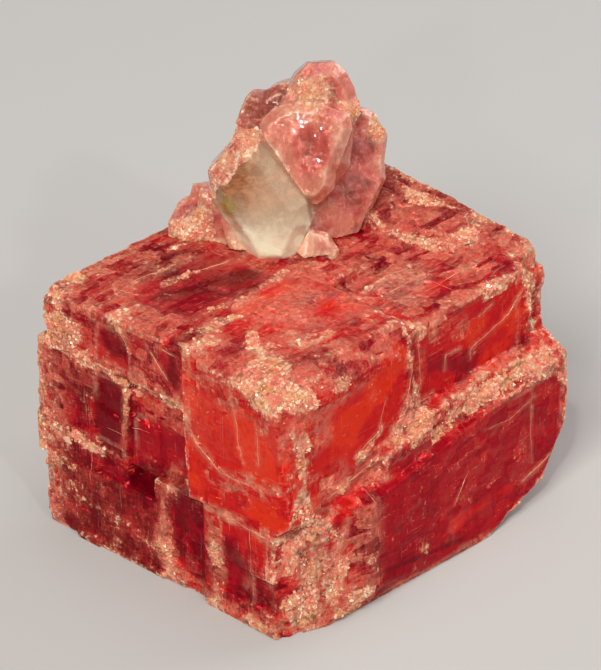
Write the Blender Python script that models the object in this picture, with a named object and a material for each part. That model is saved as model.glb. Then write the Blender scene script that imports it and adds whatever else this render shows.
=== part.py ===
"""A rhodochrosite specimen: a stepped cleavage rhomb, with paler crystals and one clear quartz crystal on top.

Places on the big rhomb are given in its own skew coordinates (a, b, c), in millimetres along its three edges, from the
blunt corner at the front of the base. a runs to the left and back, b to the right and back, and c up the front edge.
The specimen rests on the flat cleavage face c = 0. The origin is the middle of that face, +Z is up and -Y is the front.
"""

import math
import random
from collections import namedtuple

import bmesh
import bpy
from mathutils import Matrix, Vector

MM = 0.001

# The rhomb. Rhodochrosite cleaves at a plane angle of 103.05 degrees at the blunt corners.
BLUNT_ANGLE = math.radians(103.05)
EDGE_A = Vector((-math.sin(BLUNT_ANGLE / 2), math.cos(BLUNT_ANGLE / 2), 0))
EDGE_B = Vector((math.sin(BLUNT_ANGLE / 2), math.cos(BLUNT_ANGLE / 2), 0))
LEAN = -math.cos(BLUNT_ANGLE) / math.cos(BLUNT_ANGLE / 2)
EDGE_C = Vector((0, LEAN, math.sqrt(1 - LEAN * LEAN)))
SKEW = Matrix((EDGE_A, EDGE_B, EDGE_C)).transposed()
BASE_MIDDLE = (13.5, 16.0)  # (a, b) of the origin on the base

GAP = 0.3  # clear space between touching solids
BELOW_BASE = -1.5  # the lowest blocks start here, and the base cut takes them back to 0
SEED = 11

Block = namedtuple("Block", "name a b c chip")

# The blocks that the rhomb has grown in. chip is the depth of a usual nick along a block's edges.
BLOCKS = (
    Block("core", (1.6, 24.3), (1.6, 28.8), (BELOW_BASE, 20.5), 0.6),
    Block("central_block", (-0.3, 10.1), (-0.7, 14.2), (9.4, 22.5), 0.13),
    Block("central_foot", (0.1, 8.9), (-0.3, 9.6), (BELOW_BASE, 9.7), 0.4),
    Block("upper_left", (9.0, 25.3), (-0.1, 24.6), (16.9, 21.8), 0.5),
    Block("mid_left", (17.4, 27.0), (0.3, 19.7), (6.5, 17.1), 0.5),
    Block("mid_panel", (8.4, 17.8), (0.9, 17.2), (8.3, 17.5), 0.4),
    Block("lower_left", (13.2, 26.3), (0.1, 21.1), (BELOW_BASE, 6.8), 0.5),
    Block("lower_mid", (7.7, 14.6), (0.1, 12.3), (BELOW_BASE, 8.8), 0.4),
    Block("right_block", (0.4, 15.8), (14.6, 28.9), (12.6, 21.2), 0.3),
    Block("right_end", (1.5, 13.7), (26.9, 31.5), (9.8, 19.4), 0.5),
    Block("upper_back", (1.2, 19.8), (22.0, 30.9), (14.9, 26.0), 0.3),
    Block("upper_back_step", (12.1, 21.4), (24.0, 29.6), (15.7, 25.4), 0.3),
)

# The slab that stands out at the lower right: its smooth face is at a = SLAB_FACE.
SLAB_FACE = -2.0
SLAB = Block("slab", (SLAB_FACE, 9.3), (1.6, 31.2), (BELOW_BASE, 14.6), 0.3)
SLAB_MIDDLE = (2.0, 18.0, 5.0)
# Each cut through the slab passes three points in (a, b, c), and keeps the side of the slab's middle.
SLAB_CUTS = (
    ((SLAB_FACE, 7.7, 9.8), (SLAB_FACE, 31.2, 13.2), (1.9, 20.0, 14.0)),
    ((SLAB_FACE, 7.6, 9.9), (SLAB_FACE, 6.3, 0.0), (-0.2, 2.6, 4.0)),
    ((SLAB_FACE, 8.0, 1.9), (SLAB_FACE, 20.0, 0.2), (-0.9, 7.0, -0.2)),
    ((SLAB_FACE, 31.2, 6.9), (SLAB_FACE, 28.3, 2.4), (1.5, 32.4, 6.3)),
    ((SLAB_FACE, 28.3, 2.4), (SLAB_FACE, 19.8, -0.6), (1.5, 29.2, 1.9)),
)

# The broken edges and corners of the blocks: a point on each cut, and how far its normal leans to each face's normal.
BLOCK_CUTS = {
    "central_block": (
        ((-0.3, 6.0, 20.4), (-1.0, -0.05, 0.72)),
        ((5.0, -0.7, 21.6), (-0.1, -0.9, 1.1)),
        ((0.2, -0.2, 21.2), (-0.8, -0.8, 1.1)),
        ((0.0, -0.45, 12.0), (-1.0, -1.0, 0.0)),
    ),
    "central_foot": (((0.6, 0.25, 5.0), (-1.0, -1.0, 0.0)),),
    "upper_left": (((24.6, 0.3, 21.4), (1.0, -0.4, 0.9)),),
    "upper_back": (((13.0, 22.6, 21.5), (-0.14, -0.28, 1.0)),),
    "upper_back_step": (((16.5, 26.0, 23.4), (-0.05, -0.2, 1.0)),),
    "right_end": (((2.5, 31.5, 18.3), (-0.2, 0.7, 1.0)),),
}

# A face broken into small blocks of growth, in rows. level is the range that the small blocks' faces lie in.
Mosaic = namedtuple("Mosaic", "face u v rows row_blocks level")
MOSAICS = (
    Mosaic("left", (13.3, 26.3), (BELOW_BASE, 6.7), 3, 4, (-0.5, 0.1)),
    Mosaic("left", (7.8, 14.2), (BELOW_BASE, 8.7), 3, 2, (-0.35, 0.15)),
    Mosaic("left", (1.0, 8.2), (BELOW_BASE, 9.3), 3, 2, (-0.7, -0.3)),
    Mosaic("left", (17.5, 27.2), (6.7, 16.9), 3, 3, (-0.1, 0.35)),
    Mosaic("left", (9.9, 17.5), (8.6, 17.1), 2, 2, (0.55, 0.95)),
    Mosaic("left", (9.4, 25.2), (17.0, 21.8), 2, 4, (-0.45, -0.1)),
    Mosaic("left", (23.4, 25.4), (17.2, 21.2), 3, 1, (-0.8, -0.4)),
    Mosaic("right", (14.3, 16.6), (13.0, 20.9), 3, 1, (0.0, 0.4)),
    Mosaic("right", (26.4, 29.0), (12.6, 20.9), 3, 1, (0.1, 0.45)),
    Mosaic("right", (14.6, 28.8), (11.9, 14.0), 2, 5, (-1.1, -0.1)),
    Mosaic("right", (10.0, 29.0), (10.9, 12.9), 1, 7, (-1.5, -0.7)),
    Mosaic("right", (28.3, 31.6), (11.5, 19.7), 4, 2, (0.7, 1.5)),
    Mosaic("right", (2.6, 8.4), (1.0, 9.6), 4, 2, (-0.75, -0.1)),
    Mosaic("top", (9.2, 25.6), (0.3, 23.8), 5, 3, (21.7, 22.3)),
    Mosaic("top", (0.8, 14.8), (14.5, 28.7), 4, 3, (20.9, 21.5)),
    Mosaic("top", (2.4, 10.0), (2.0, 14.1), 2, 2, (22.3, 22.65)),
    Mosaic("back_left", (1.5, 25.5), (BELOW_BASE, 20.6), 5, 4, (24.9, 26.5)),
    Mosaic("back_left", (22.0, 29.0), (BELOW_BASE, 17.6), 4, 1, (21.9, 25.0)),
    Mosaic("back_right", (3.3, 24.4), (BELOW_BASE, 20.7), 5, 4, (29.4, 31.0)),
)
MOSAIC_ROOT = 1.4  # how far the small blocks reach in behind their faces
MOSAIC_CHIP = 0.16

# The flat crystals on top: an outline in mm across and up the crystal's own plane, which stands at its foot point.
Blade = namedtuple("Blade", "name foot turn lean thickness bevel outline")
BLADES = (
    Blade(
        "front_blade", (1.6, 10.65, 25.0), -8, 28, 3.4, 0.9,
        (
            (0.3, -0.2), (1.6, 1.2), (1.7, 2.7), (3.0, 6.6), (2.7, 7.9), (0.1, 8.7), (-2.2, 8.9), (-4.0, 8.1),
            (-5.1, 7.0), (-5.2, 4.9), (-3.7, 2.6), (-0.9, -0.1),
        ),
    ),
    Blade(
        "top_lump", (2.2, 13.6, 27.9), 4, 28, 4.4, 1.0,
        (
            (0.7, -3.6), (2.8, -1.1), (3.3, 2.4), (3.9, 3.7), (3.5, 5.7), (2.8, 7.3), (1.8, 8.2), (-0.4, 8.2),
            (-1.6, 7.3), (-3.4, 4.0), (-3.4, -0.7), (-2.0, -3.4),
        ),
    ),
    Blade(
        "right_blade", (4.85, 11.9, 20.3), 20, 25, 3.2, 0.6,
        (
            (0.0, -0.6), (1.1, -0.3), (4.5, 4.3), (4.6, 5.9), (5.3, 8.1), (4.3, 10.5), (3.0, 11.3), (0.4, 9.8),
            (-1.7, 4.4), (-3.4, 2.9), (-3.3, 1.2), (-1.4, -0.3),
        ),
    ),
    Blade(
        "rear_mass", (-0.35, 15.2, 22.9), -10, 26, 5.2, 0.8,
        (
            (-4.1, -1.6), (-5.5, 1.3), (-5.8, 3.6), (-5.2, 6.0), (-3.9, 7.2), (-3.4, 8.6), (-2.2, 9.5), (-0.4, 10.1),
            (2.3, 9.6), (3.3, 5.7), (3.4, -1.6),
        ),
    ),
    Blade(
        "left_tablet", (-6.8, 10.9, 20.9), -24, 22, 2.6, 0.5,
        ((0.2, -0.8), (1.6, 0.1), (1.2, 1.7), (-0.2, 3.0), (-1.9, 4.3), (-2.7, 4.4), (-2.8, 2.6), (-2.2, -0.3)),
    ),
    Blade(
        "peach_plate", (-4.2, 8.9, 20.6), -8, 38, 1.9, 0.4,
        ((-0.6, -0.9), (1.0, -0.5), (1.4, 2.3), (-0.4, 3.0), (-1.6, 4.2), (-3.2, 3.6), (-2.2, 1.2)),
    ),
    Blade(
        "right_foot", (1.75, 7.6, 20.1), 12, 38, 2.2, 0.5,
        ((0.7, -0.6), (2.0, -0.5), (2.3, 1.5), (1.5, 3.0), (-0.2, 3.7), (-1.2, 2.1), (-2.1, 0.8), (-1.3, -0.4)),
    ),
)

# Blunt rhombs in and behind the blades: middle and sizes in mm, and turns in degrees.
Rhomb = namedtuple("Rhomb", "name middle size turn chip")
REAR_RHOMBS = (
    Rhomb("heart", (-1.4, 14.4, 20.9), (9.6, 6.4, 4.6), (0, -4, 4), 0.8),
    Rhomb("rear_left_low", (-8.3, 13.6, 20.3), (4.8, 4.6, 3.8), (6, -12, 34), 0.6),
    Rhomb("rear_left_high", (-6.3, 15.4, 21.5), (4.4, 4.8, 4.8), (-10, 14, -16), 0.8),
    Rhomb("rear_peak", (-1.6, 19.0, 27.4), (5.0, 4.4, 5.2), (20, -14, 30), 0.9),
    Rhomb("rear_right", (4.4, 17.4, 22.4), (5.6, 5.6, 6.6), (8, 20, 8), 1.2),
    Rhomb("rear_foot", (0.6, 18.2, 21.6), (6.4, 4.4, 4.6), (-10, 6, -12), 0.8),
)

# The quartz: a thick hexagonal crystal that leans back on the others.
QUARTZ = Blade(
    "quartz_crystal", (-2.5, 8.0, 20.25), -10, 16, 5.2, 1.25,
    ((-1.5, -0.1), (1.8, 0.1), (3.35, 3.7), (2.9, 5.7), (-1.6, 11.3), (-3.4, 11.1), (-5.9, 8.0), (-5.3, 4.9)),
)

COLOURS = {
    "rhodochrosite_rhomb": (0.62, 0.07, 0.06),
    "summit_crystals": (0.72, 0.24, 0.18),
    "quartz_crystal": (0.86, 0.84, 0.76),
}


def skew_point(a, b, c):
    """The place, in metres, of a point given in the rhomb's skew coordinates."""
    return SKEW @ Vector((a - BASE_MIDDLE[0], b - BASE_MIDDLE[1], c)) * MM


def skew_direction(a, b, c):
    """The direction made of these shares of the outward normals of the faces across a, b and c."""
    normals = SKEW.inverted()
    return (normals[0].normalized() * a + normals[1].normalized() * b + normals[2].normalized() * c).normalized()


def clear_scene():
    """Removes whatever the open file holds."""
    for obj in list(bpy.data.objects):
        bpy.data.objects.remove(obj)


def new_object(name, bm, collection):
    """Puts a bmesh in a new object, with its faces pointing out."""
    bmesh.ops.recalc_face_normals(bm, faces=bm.faces)
    mesh = bpy.data.meshes.new(name)
    bm.to_mesh(mesh)
    bm.free()
    obj = bpy.data.objects.new(name, mesh)
    collection.objects.link(obj)
    return obj


def cut(bm, point, normal):
    """Cuts a convex solid by a plane, drops the side that the normal points to, and closes the cut."""
    geometry = bm.verts[:] + bm.edges[:] + bm.faces[:]
    bmesh.ops.bisect_plane(bm, geom=geometry, dist=1e-7, plane_co=point, plane_no=normal, clear_outer=True)
    open_edges = [edge for edge in bm.edges if edge.is_boundary]
    if open_edges:
        bmesh.ops.holes_fill(bm, edges=open_edges, sides=0)


def chip(bm, rng, depth):
    """Nicks the edges and corners of a convex solid. A usual nick on an edge is this deep, in mm."""
    bmesh.ops.recalc_face_normals(bm, faces=bm.faces)
    nicks = []
    for edge in bm.edges:
        normal = sum((face.normal for face in edge.link_faces), Vector())
        middle = (edge.verts[0].co + edge.verts[1].co) / 2
        nicks.append((middle, normal, rng.uniform(0.15, 0.6), 0.1))
    for vert in bm.verts:
        normal = sum((face.normal for face in vert.link_faces), Vector())
        nicks.append((vert.co.copy(), normal, rng.uniform(0.6, 1.9), 0.35))
    for place, normal, share, wobble in nicks:
        tilt = Vector([rng.uniform(-wobble, wobble) for _ in range(3)])
        direction = (normal.normalized() + tilt).normalized()
        cut(bm, place - direction * share * depth * MM, direction)


def skew_box(a, b, c):
    """A parallelepiped between two values of each skew coordinate, as a bmesh."""
    bm = bmesh.new()
    bmesh.ops.create_cube(bm, size=1)
    for vert in bm.verts:
        share = vert.co + Vector((0.5, 0.5, 0.5))
        vert.co = skew_point(
            a[0] + share.x * (a[1] - a[0]),
            b[0] + share.y * (b[1] - b[0]),
            c[0] + share.z * (c[1] - c[0]),
        )
    bm.normal_update()
    return bm


def plane_through(points, inside):
    """A point and the outward normal of the plane through three skew points, with the inside point behind it."""
    first, second, third = (skew_point(*point) for point in points)
    normal = (second - first).cross(third - first).normalized()
    if normal.dot(skew_point(*inside) - first) > 0:
        normal = -normal
    return first, normal


def block_objects(rng, helpers):
    """The blocks of the rhomb, each cut and chipped, and the slab."""
    made = []
    for block in BLOCKS:
        bm = skew_box(block.a, block.b, block.c)
        for point, shares in BLOCK_CUTS.get(block.name, ()):
            cut(bm, skew_point(*point), skew_direction(*shares))
        chip(bm, rng, block.chip)
        made.append(new_object(block.name, bm, helpers))
    slab = skew_box(SLAB.a, SLAB.b, SLAB.c)
    for points in SLAB_CUTS:
        cut(slab, *plane_through(points, SLAB_MIDDLE))
    made.append(new_object(SLAB.name, slab, helpers))
    return made


def divided(span, parts, rng):
    """A span cut in so many parts of uneven length, as pairs of ends."""
    inner = [span[0] + (span[1] - span[0]) * (number + rng.uniform(-0.3, 0.3)) / parts for number in range(1, parts)]
    ends = [span[0], *inner, span[1]]
    return list(zip(ends, ends[1:]))


def lapped(span, rng):
    """A span drawn out at both ends by a little, never twice by the same."""
    return (span[0] - rng.uniform(0.03, 0.24), span[1] + rng.uniform(0.03, 0.24))


def mosaic_objects(rng, helpers):
    """The small blocks that break up the faces of the big ones, like steps of growth."""
    made = []
    for mosaic in MOSAICS:
        for row in divided(mosaic.v, mosaic.rows, rng):
            for part in divided(mosaic.u, mosaic.row_blocks, rng):
                u = lapped(part, rng)
                v = lapped(row, rng)
                level = rng.uniform(*mosaic.level)
                root = MOSAIC_ROOT * rng.uniform(0.8, 1.2)
                low = (level, level + root)
                high = (level - root, level)
                spans = {
                    "left": (u, low, v),
                    "right": (low, u, v),
                    "top": (u, v, high),
                    "back_left": (high, u, v),
                    "back_right": (u, high, v),
                }[mosaic.face]
                bm = skew_box(*spans)
                chip(bm, rng, MOSAIC_CHIP)
                made.append(new_object(f"{mosaic.face}_small_block_{len(made) + 1}", bm, helpers))
    return made


def combine(obj, others, operation):
    """Adds the other solids to this one, or takes them away, and keeps the result in its mesh."""
    for other in others:
        modifier = obj.modifiers.new("combine", "BOOLEAN")
        modifier.operation = operation
        modifier.object = other
        graph = bpy.context.evaluated_depsgraph_get()
        mesh = bpy.data.meshes.new_from_object(obj.evaluated_get(graph))
        obj.modifiers.clear()
        obj.data = mesh


def fill_hollows(obj):
    """Leaves only the outer skin of a solid, so that no space stays closed in between its blocks."""
    bm = bmesh.new()
    bm.from_mesh(obj.data)
    left = set(bm.verts)
    skins = []
    while left:
        skin = {left.pop()}
        edge_of_skin = list(skin)
        while edge_of_skin:
            vert = edge_of_skin.pop()
            fresh = {edge.other_vert(vert) for edge in vert.link_edges} & left
            left -= fresh
            skin |= fresh
            edge_of_skin.extend(fresh)
        skins.append(skin)
    outer = max(skins, key=len)
    bmesh.ops.delete(bm, geom=[vert for vert in bm.verts if vert not in outer], context="VERTS")
    bm.to_mesh(obj.data)
    bm.free()


def base_cutter(helpers):
    """A broad box whose top is the plane that the specimen rests on."""
    bm = bmesh.new()
    bmesh.ops.create_cube(bm, size=0.1)
    bmesh.ops.translate(bm, verts=bm.verts, vec=(0, 0, -0.05))
    return new_object("base_cutter", bm, helpers)


def build_rhomb(rng, parts, helpers):
    """The big stepped rhomb, as one solid."""
    pieces = block_objects(rng, helpers) + mosaic_objects(rng, helpers)
    rhomb = pieces[0].copy()
    rhomb.data = pieces[0].data.copy()
    rhomb.name = "rhodochrosite_rhomb"
    parts.objects.link(rhomb)
    combine(rhomb, pieces[1:], "UNION")
    combine(rhomb, [base_cutter(helpers)], "DIFFERENCE")
    fill_hollows(rhomb)
    return rhomb


def blade_bmesh(blade, growth, helpers):
    """A flat crystal with a chamfer all round, grown by so many mm: a filled outline given thickness, turned and leaned."""
    curve = bpy.data.curves.new(blade.name, "CURVE")
    curve.dimensions = "2D"
    curve.fill_mode = "BOTH"
    curve.bevel_resolution = 0
    curve.bevel_depth = blade.bevel * MM
    curve.offset = (growth - blade.bevel) * MM
    curve.extrude = (blade.thickness / 2 + growth - blade.bevel) * MM
    spline = curve.splines.new("POLY")
    spline.use_cyclic_u = True
    spline.points.add(len(blade.outline) - 1)
    for point, (across, up) in zip(spline.points, blade.outline):
        point.co = (across * MM, up * MM, 0, 1)
    flat = bpy.data.objects.new(blade.name + "_outline", curve)
    helpers.objects.link(flat)
    standing = Matrix.Rotation(math.pi / 2, 4, "X")
    leaning = Matrix.Rotation(-math.radians(blade.lean), 4, "X")
    turning = Matrix.Rotation(math.radians(blade.turn), 4, "Z")
    into = Matrix.Translation((0, 0, -blade.thickness / 2 * MM))
    flat.matrix_world = Matrix.Translation(Vector(blade.foot) * MM) @ turning @ leaning @ standing @ into
    bpy.context.view_layer.update()
    graph = bpy.context.evaluated_depsgraph_get()
    bm = bmesh.new()
    bm.from_mesh(bpy.data.meshes.new_from_object(flat.evaluated_get(graph)))
    bmesh.ops.remove_doubles(bm, verts=bm.verts, dist=1e-6)
    bmesh.ops.transform(bm, matrix=flat.matrix_world, verts=bm.verts)
    bpy.data.objects.remove(flat)
    return bm


def turned(degrees):
    """A rotation about X, then Y, then Z."""
    rx, ry, rz = (math.radians(value) for value in degrees)
    return Matrix.Rotation(rz, 4, "Z") @ Matrix.Rotation(ry, 4, "Y") @ Matrix.Rotation(rx, 4, "X")


def rhomb_object(rhomb, rng, helpers):
    """A small chipped rhomb of the same angles as the big one, turned in its own way."""
    bm = bmesh.new()
    bmesh.ops.create_cube(bm, size=1)
    for vert in bm.verts:
        along = Vector([value * size for value, size in zip(vert.co, rhomb.size)])
        vert.co = SKEW @ along * MM
    bm.normal_update()
    chip(bm, rng, rhomb.chip)
    place = Matrix.Translation(Vector(rhomb.middle) * MM) @ turned(rhomb.turn)
    bmesh.ops.transform(bm, matrix=place, verts=bm.verts)
    return new_object(rhomb.name, bm, helpers)


def shifted_copies(rhomb, helpers):
    """Copies of the big rhomb, shifted by the gap up, down and to each side, to trim what stands on the rhomb."""
    made = []
    for shift in ((0, 0, 1), (0, 0, -1), (1, 0.3, 0.9), (-0.3, 1, 0.8), (-1, -0.3, 0.7), (0.3, -1, 0.6)):
        cutter = rhomb.copy()
        cutter.data = rhomb.data.copy()
        cutter.name = f"rhomb_cutter_{len(made) + 1}"
        cutter.data.transform(Matrix.Translation(Vector(shift) * GAP * MM))
        helpers.objects.link(cutter)
        made.append(cutter)
    return made


def build_summit(rng, parts, helpers):
    """The flat crystals and blunt rhombs on top, grown together in one solid."""
    pieces = [new_object(blade.name, blade_bmesh(blade, 0, helpers), helpers) for blade in BLADES]
    pieces += [rhomb_object(rhomb, rng, helpers) for rhomb in REAR_RHOMBS]
    summit = pieces[0].copy()
    summit.data = pieces[0].data.copy()
    summit.name = "summit_crystals"
    parts.objects.link(summit)
    combine(summit, pieces[1:], "UNION")
    fill_hollows(summit)
    return summit


def finish(obj, material_name):
    """Gives a solid its own material and flat crystal faces."""
    material = bpy.data.materials.new(material_name)
    material.use_nodes = True
    shader = material.node_tree.nodes["Principled BSDF"]
    shader.inputs["Base Color"].default_value = (*COLOURS[obj.name], 1)
    shader.inputs["Roughness"].default_value = 0.25
    shader.inputs["Metallic"].default_value = 0
    obj.data.materials.clear()
    obj.data.materials.append(material)
    obj.data.shade_flat()


def main():
    """Builds the three solids: the rhomb, the crystals on top of it, and the quartz among them."""
    clear_scene()
    parts = bpy.data.collections.new("rhodochrosite_specimen")
    helpers = bpy.data.collections.new("cutters")
    bpy.context.scene.collection.children.link(parts)
    bpy.context.scene.collection.children.link(helpers)
    rng = random.Random(SEED)
    rhomb = build_rhomb(rng, parts, helpers)
    summit = build_summit(rng, parts, helpers)
    quartz = new_object("quartz_crystal", blade_bmesh(QUARTZ, 0, helpers), parts)
    quartz_cutter = new_object("quartz_cutter", blade_bmesh(QUARTZ, GAP, helpers), helpers)
    rhomb_cutters = shifted_copies(rhomb, helpers)
    combine(summit, [quartz_cutter, *rhomb_cutters], "DIFFERENCE")
    combine(quartz, rhomb_cutters, "DIFFERENCE")
    fill_hollows(summit)
    for helper in helpers.objects:
        helper.hide_render = True
        helper.display_type = "WIRE"
    finish(rhomb, "red rhodochrosite")
    finish(summit, "pink rhodochrosite")
    finish(quartz, "quartz")


main()
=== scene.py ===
"""A rhodochrosite specimen: a stepped red cleavage rhomb, pink crystals on top and one quartz crystal.

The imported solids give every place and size. Each is dressed by a finer skin worked out from it, and the
crust grains, cleavage flakes and pale threads that sit on it are laid over that skin.
"""

from __future__ import annotations

import itertools
import logging
import math
from dataclasses import dataclass, field
from enum import Enum

import bmesh
import bpy
import numpy as np
from mathutils import Matrix, Vector

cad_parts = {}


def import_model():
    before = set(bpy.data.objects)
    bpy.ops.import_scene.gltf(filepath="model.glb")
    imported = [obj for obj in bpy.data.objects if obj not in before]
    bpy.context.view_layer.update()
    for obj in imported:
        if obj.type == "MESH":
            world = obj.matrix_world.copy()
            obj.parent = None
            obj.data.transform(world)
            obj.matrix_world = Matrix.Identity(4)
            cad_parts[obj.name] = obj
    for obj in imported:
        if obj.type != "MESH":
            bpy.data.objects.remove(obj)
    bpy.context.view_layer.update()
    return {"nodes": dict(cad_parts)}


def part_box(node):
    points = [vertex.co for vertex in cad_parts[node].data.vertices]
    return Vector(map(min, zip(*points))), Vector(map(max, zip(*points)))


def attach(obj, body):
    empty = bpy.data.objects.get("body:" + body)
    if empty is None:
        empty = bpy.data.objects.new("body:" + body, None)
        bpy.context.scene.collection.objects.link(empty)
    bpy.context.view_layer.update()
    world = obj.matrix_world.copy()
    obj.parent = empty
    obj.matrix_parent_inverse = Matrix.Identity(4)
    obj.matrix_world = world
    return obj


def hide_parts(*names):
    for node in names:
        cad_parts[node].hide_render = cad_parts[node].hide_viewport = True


Array = np.ndarray
Colour = tuple[float, float, float]
Socket = bpy.types.NodeSocket
Node = bpy.types.Node
Tree = bpy.types.NodeTree
FLOAT = "NodeSocketFloat"
VECTOR = "NodeSocketVector"
MM = 0.001
LATTICE_PRIMES = (73856093, 19349663, 83492791)
SEED_PRIME = 2654435761
MIXING_ROUNDS = ((13, 1274126177), (15, 461845907))
LOG = logging.getLogger("rhodochrosite")


# --------------------------------------------------------------------------------------------------
# The skew frame of the rhomb, and noise on arrays of points
# --------------------------------------------------------------------------------------------------


@dataclass(frozen=True)
class CleavageFrame:
    """The rhomb's skew axes, in mm: a runs left and back, b right and back, and c up the front edge."""

    blunt_angle: float = math.radians(103.05)
    base_middle: tuple[float, float] = (13.5, 16.0)

    def axes(self) -> Array:
        """The three unit edge directions.

        Returns:
            A matrix with one direction in each column.
        """
        half = self.blunt_angle / 2
        lean = -math.cos(self.blunt_angle) / math.cos(half)
        edge_a = (-math.sin(half), math.cos(half), 0.0)
        edge_b = (math.sin(half), math.cos(half), 0.0)
        edge_c = (0.0, lean, math.sqrt(1 - lean * lean))
        return np.array([edge_a, edge_b, edge_c]).T

    def offset(self) -> Array:
        """The skew place of the world's origin."""
        return np.array([*self.base_middle, 0.0])

    def to_skew(self, metres: Array) -> Array:
        """Places in metres, as skew places in mm.

        Args:
            metres: points as rows.

        Returns:
            The same points as rows of (a, b, c).
        """
        return (metres / MM) @ np.linalg.inv(self.axes()).T + self.offset()

    def to_world(self, skew: Array) -> Array:
        """Skew places in mm, as places in metres.

        Args:
            skew: points as rows of (a, b, c).

        Returns:
            The same points in metres.
        """
        return (skew - self.offset()) @ self.axes().T * MM


FRAME = CleavageFrame()


def hashed(cells: Array, seed: int) -> Array:
    """A value for each cell of a lattice: its whole numbers times large primes, mixed bit by bit.

    Args:
        cells: whole numbers as rows of three.
        seed: a different number gives different values.

    Returns:
        From 0 to 1 for each row.
    """
    whole = cells.astype(np.int64) * np.array(LATTICE_PRIMES)
    mixed = np.bitwise_xor.reduce(whole, axis=-1) ^ (seed * SEED_PRIME)
    for shift, factor in MIXING_ROUNDS:
        mixed = ((mixed ^ (mixed >> shift)) * factor) & 0x7FFFFFFF
    return ((mixed ^ (mixed >> 12)) & 0xFFFF) / 65535.0


def smooth_noise(points: Array, size: float | tuple[float, float, float], seed: int) -> Array:
    """Soft noise from -1 to 1: lattice values blended between the eight corners of each cell.

    Args:
        points: places in mm, as rows.
        size: the cells' size in mm, or a size along each axis.
        seed: picks the values.

    Returns:
        One value for each point.
    """
    scaled = points / np.asarray(size)
    base = np.floor(scaled)
    part = scaled - base
    weight = part * part * (3 - 2 * part)
    total = np.zeros(len(points))
    for corner in itertools.product((0, 1), repeat=3):
        share = np.prod(np.where(np.array(corner) == 1, weight, 1 - weight), axis=1)
        total += share * hashed(base + np.array(corner), seed)
    return 2 * total - 1


def layered_noise(points: Array, size: float, seed: int, layers: int = 3) -> Array:
    """Soft noise added up in layers, each half the size and a bit over half the strength of the last.

    Args:
        points: places in mm, as rows.
        size: the largest cells' size in mm.
        seed: picks the values.
        layers: how many layers.

    Returns:
        One value for each point, from about -1 to 1.
    """
    parts = [smooth_noise(points, size / 2**level, seed + level) * 0.55**level for level in range(layers)]
    return sum(parts) / 1.4


def block_noise(points: Array, size: tuple[float, float, float], seed: int) -> Array:
    """Block cells: each point belongs to the jittered centre nearest by the largest of its three offsets.

    Args:
        points: places in mm, as rows.
        size: the cells' usual size along each axis.
        seed: picks the centres.

    Returns:
        From 0 to 1 for each point, even over each cell.
    """
    scaled = points / np.asarray(size)
    base = np.floor(scaled)
    best = np.full(len(points), np.inf)
    value = np.zeros(len(points))
    for step in itertools.product((-1, 0, 1), repeat=3):
        cell = base + np.array(step)
        jitter = np.stack([hashed(cell, seed + axis) for axis in range(3)], axis=1)
        away = np.abs(cell + 0.15 + 0.7 * jitter - scaled).max(axis=1)
        nearer = away < best
        value = np.where(nearer, hashed(cell, seed + 7), value)
        best = np.where(nearer, away, best)
    return value


def ramp(values: Array, low: float, high: float) -> Array:
    """0 below low and 1 above high, with a soft S between."""
    part = np.clip((values - low) / (high - low), 0, 1)
    return part * part * (3 - 2 * part)


# --------------------------------------------------------------------------------------------------
# Where the rhomb is clear, where it is crusted, and how bright it glows
# --------------------------------------------------------------------------------------------------


@dataclass(frozen=True)
class Region:
    """A soft-edged box in skew places: full inside, and nothing past its margin."""

    a: tuple[float, float]
    b: tuple[float, float]
    c: tuple[float, float]
    strength: float = 1.0
    margin: float = 0.3

    def amount(self, skew: Array) -> Array:
        """How far each point belongs to the region.

        Args:
            skew: places as rows of (a, b, c).

        Returns:
            From 0 to strength for each point.
        """
        share = np.ones(len(skew))
        for axis, (low, high) in enumerate((self.a, self.b, self.c)):
            inside = np.minimum(skew[:, axis] - low, high - skew[:, axis])
            share *= ramp(inside, -self.margin, self.margin)
        return share * self.strength


class Kind(Enum):
    """What a mark on a face is."""

    CRUST = "crust"
    LINE = "pale line"
    SEAM = "dark line"
    VEIL = "pink veil"
    # A glow mark is painted light: it brightens the red where light passes through and reflects inside the
    # crystal.
    GLOW = "bright depth"
    DARK = "dark depth"


class Face(Enum):
    """The rhomb's faces: the skew axis across each, and the places along it where the face may lie."""

    RIGHT = (0, -1.3, 3.2)
    SLAB = (0, -4.0, -1.3)
    LEFT = (1, -2.5, 3.2)
    TOP = (2, 20.0, 23.3)
    BACK_TOP = (2, 23.0, 26.5)


@dataclass(frozen=True)
class Mark:
    """A stroke on one face, along a few points given by the face's own two skew axes."""

    kind: Kind
    face: Face
    width: float
    points: tuple[tuple[float, float], ...]

    def amount(self, skew: Array, wobble: Array) -> Array:
        """How far each point belongs to the stroke: its distance from the nearest leg, against half the width
        of the stroke.

        Distances are true ones: a step of u and v along two axes whose cosine is k has the squared length
        u u + v v + 2 k u v.

        Args:
            skew: places as rows of (a, b, c).
            wobble: what is added to each distance, in mm.

        Returns:
            From 0 to 1 for each point.
        """
        across, low, high = self.face.value
        first, second = (axis for axis in range(3) if axis != across)
        near = (skew[:, across] > low) & (skew[:, across] < high)
        axes = FRAME.axes()
        cosine = axes[:, first] @ axes[:, second]
        metric = np.array([[1.0, cosine], [cosine, 1.0]])
        place = skew[near][:, [first, second]]
        best = np.full(len(place), 1e9)
        for start, end in zip(self.points, self.points[1:]):
            leg = np.subtract(end, start)
            away = place - np.array(start)
            along = np.clip(away @ metric @ leg / (leg @ metric @ leg), 0, 1)
            rest = away - along[:, None] * leg
            best = np.minimum(best, np.sqrt(np.einsum("ni,ij,nj->n", rest, metric, rest)))
        thin = self.kind in (Kind.LINE, Kind.SEAM)
        soft, share = (0.14, 0.25) if thin else (0.4, 1.0)
        result = np.zeros(len(skew))
        result[near] = 1 - ramp(best + share * wobble[near], self.width / 2 - soft, self.width / 2 + soft)
        return result


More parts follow.
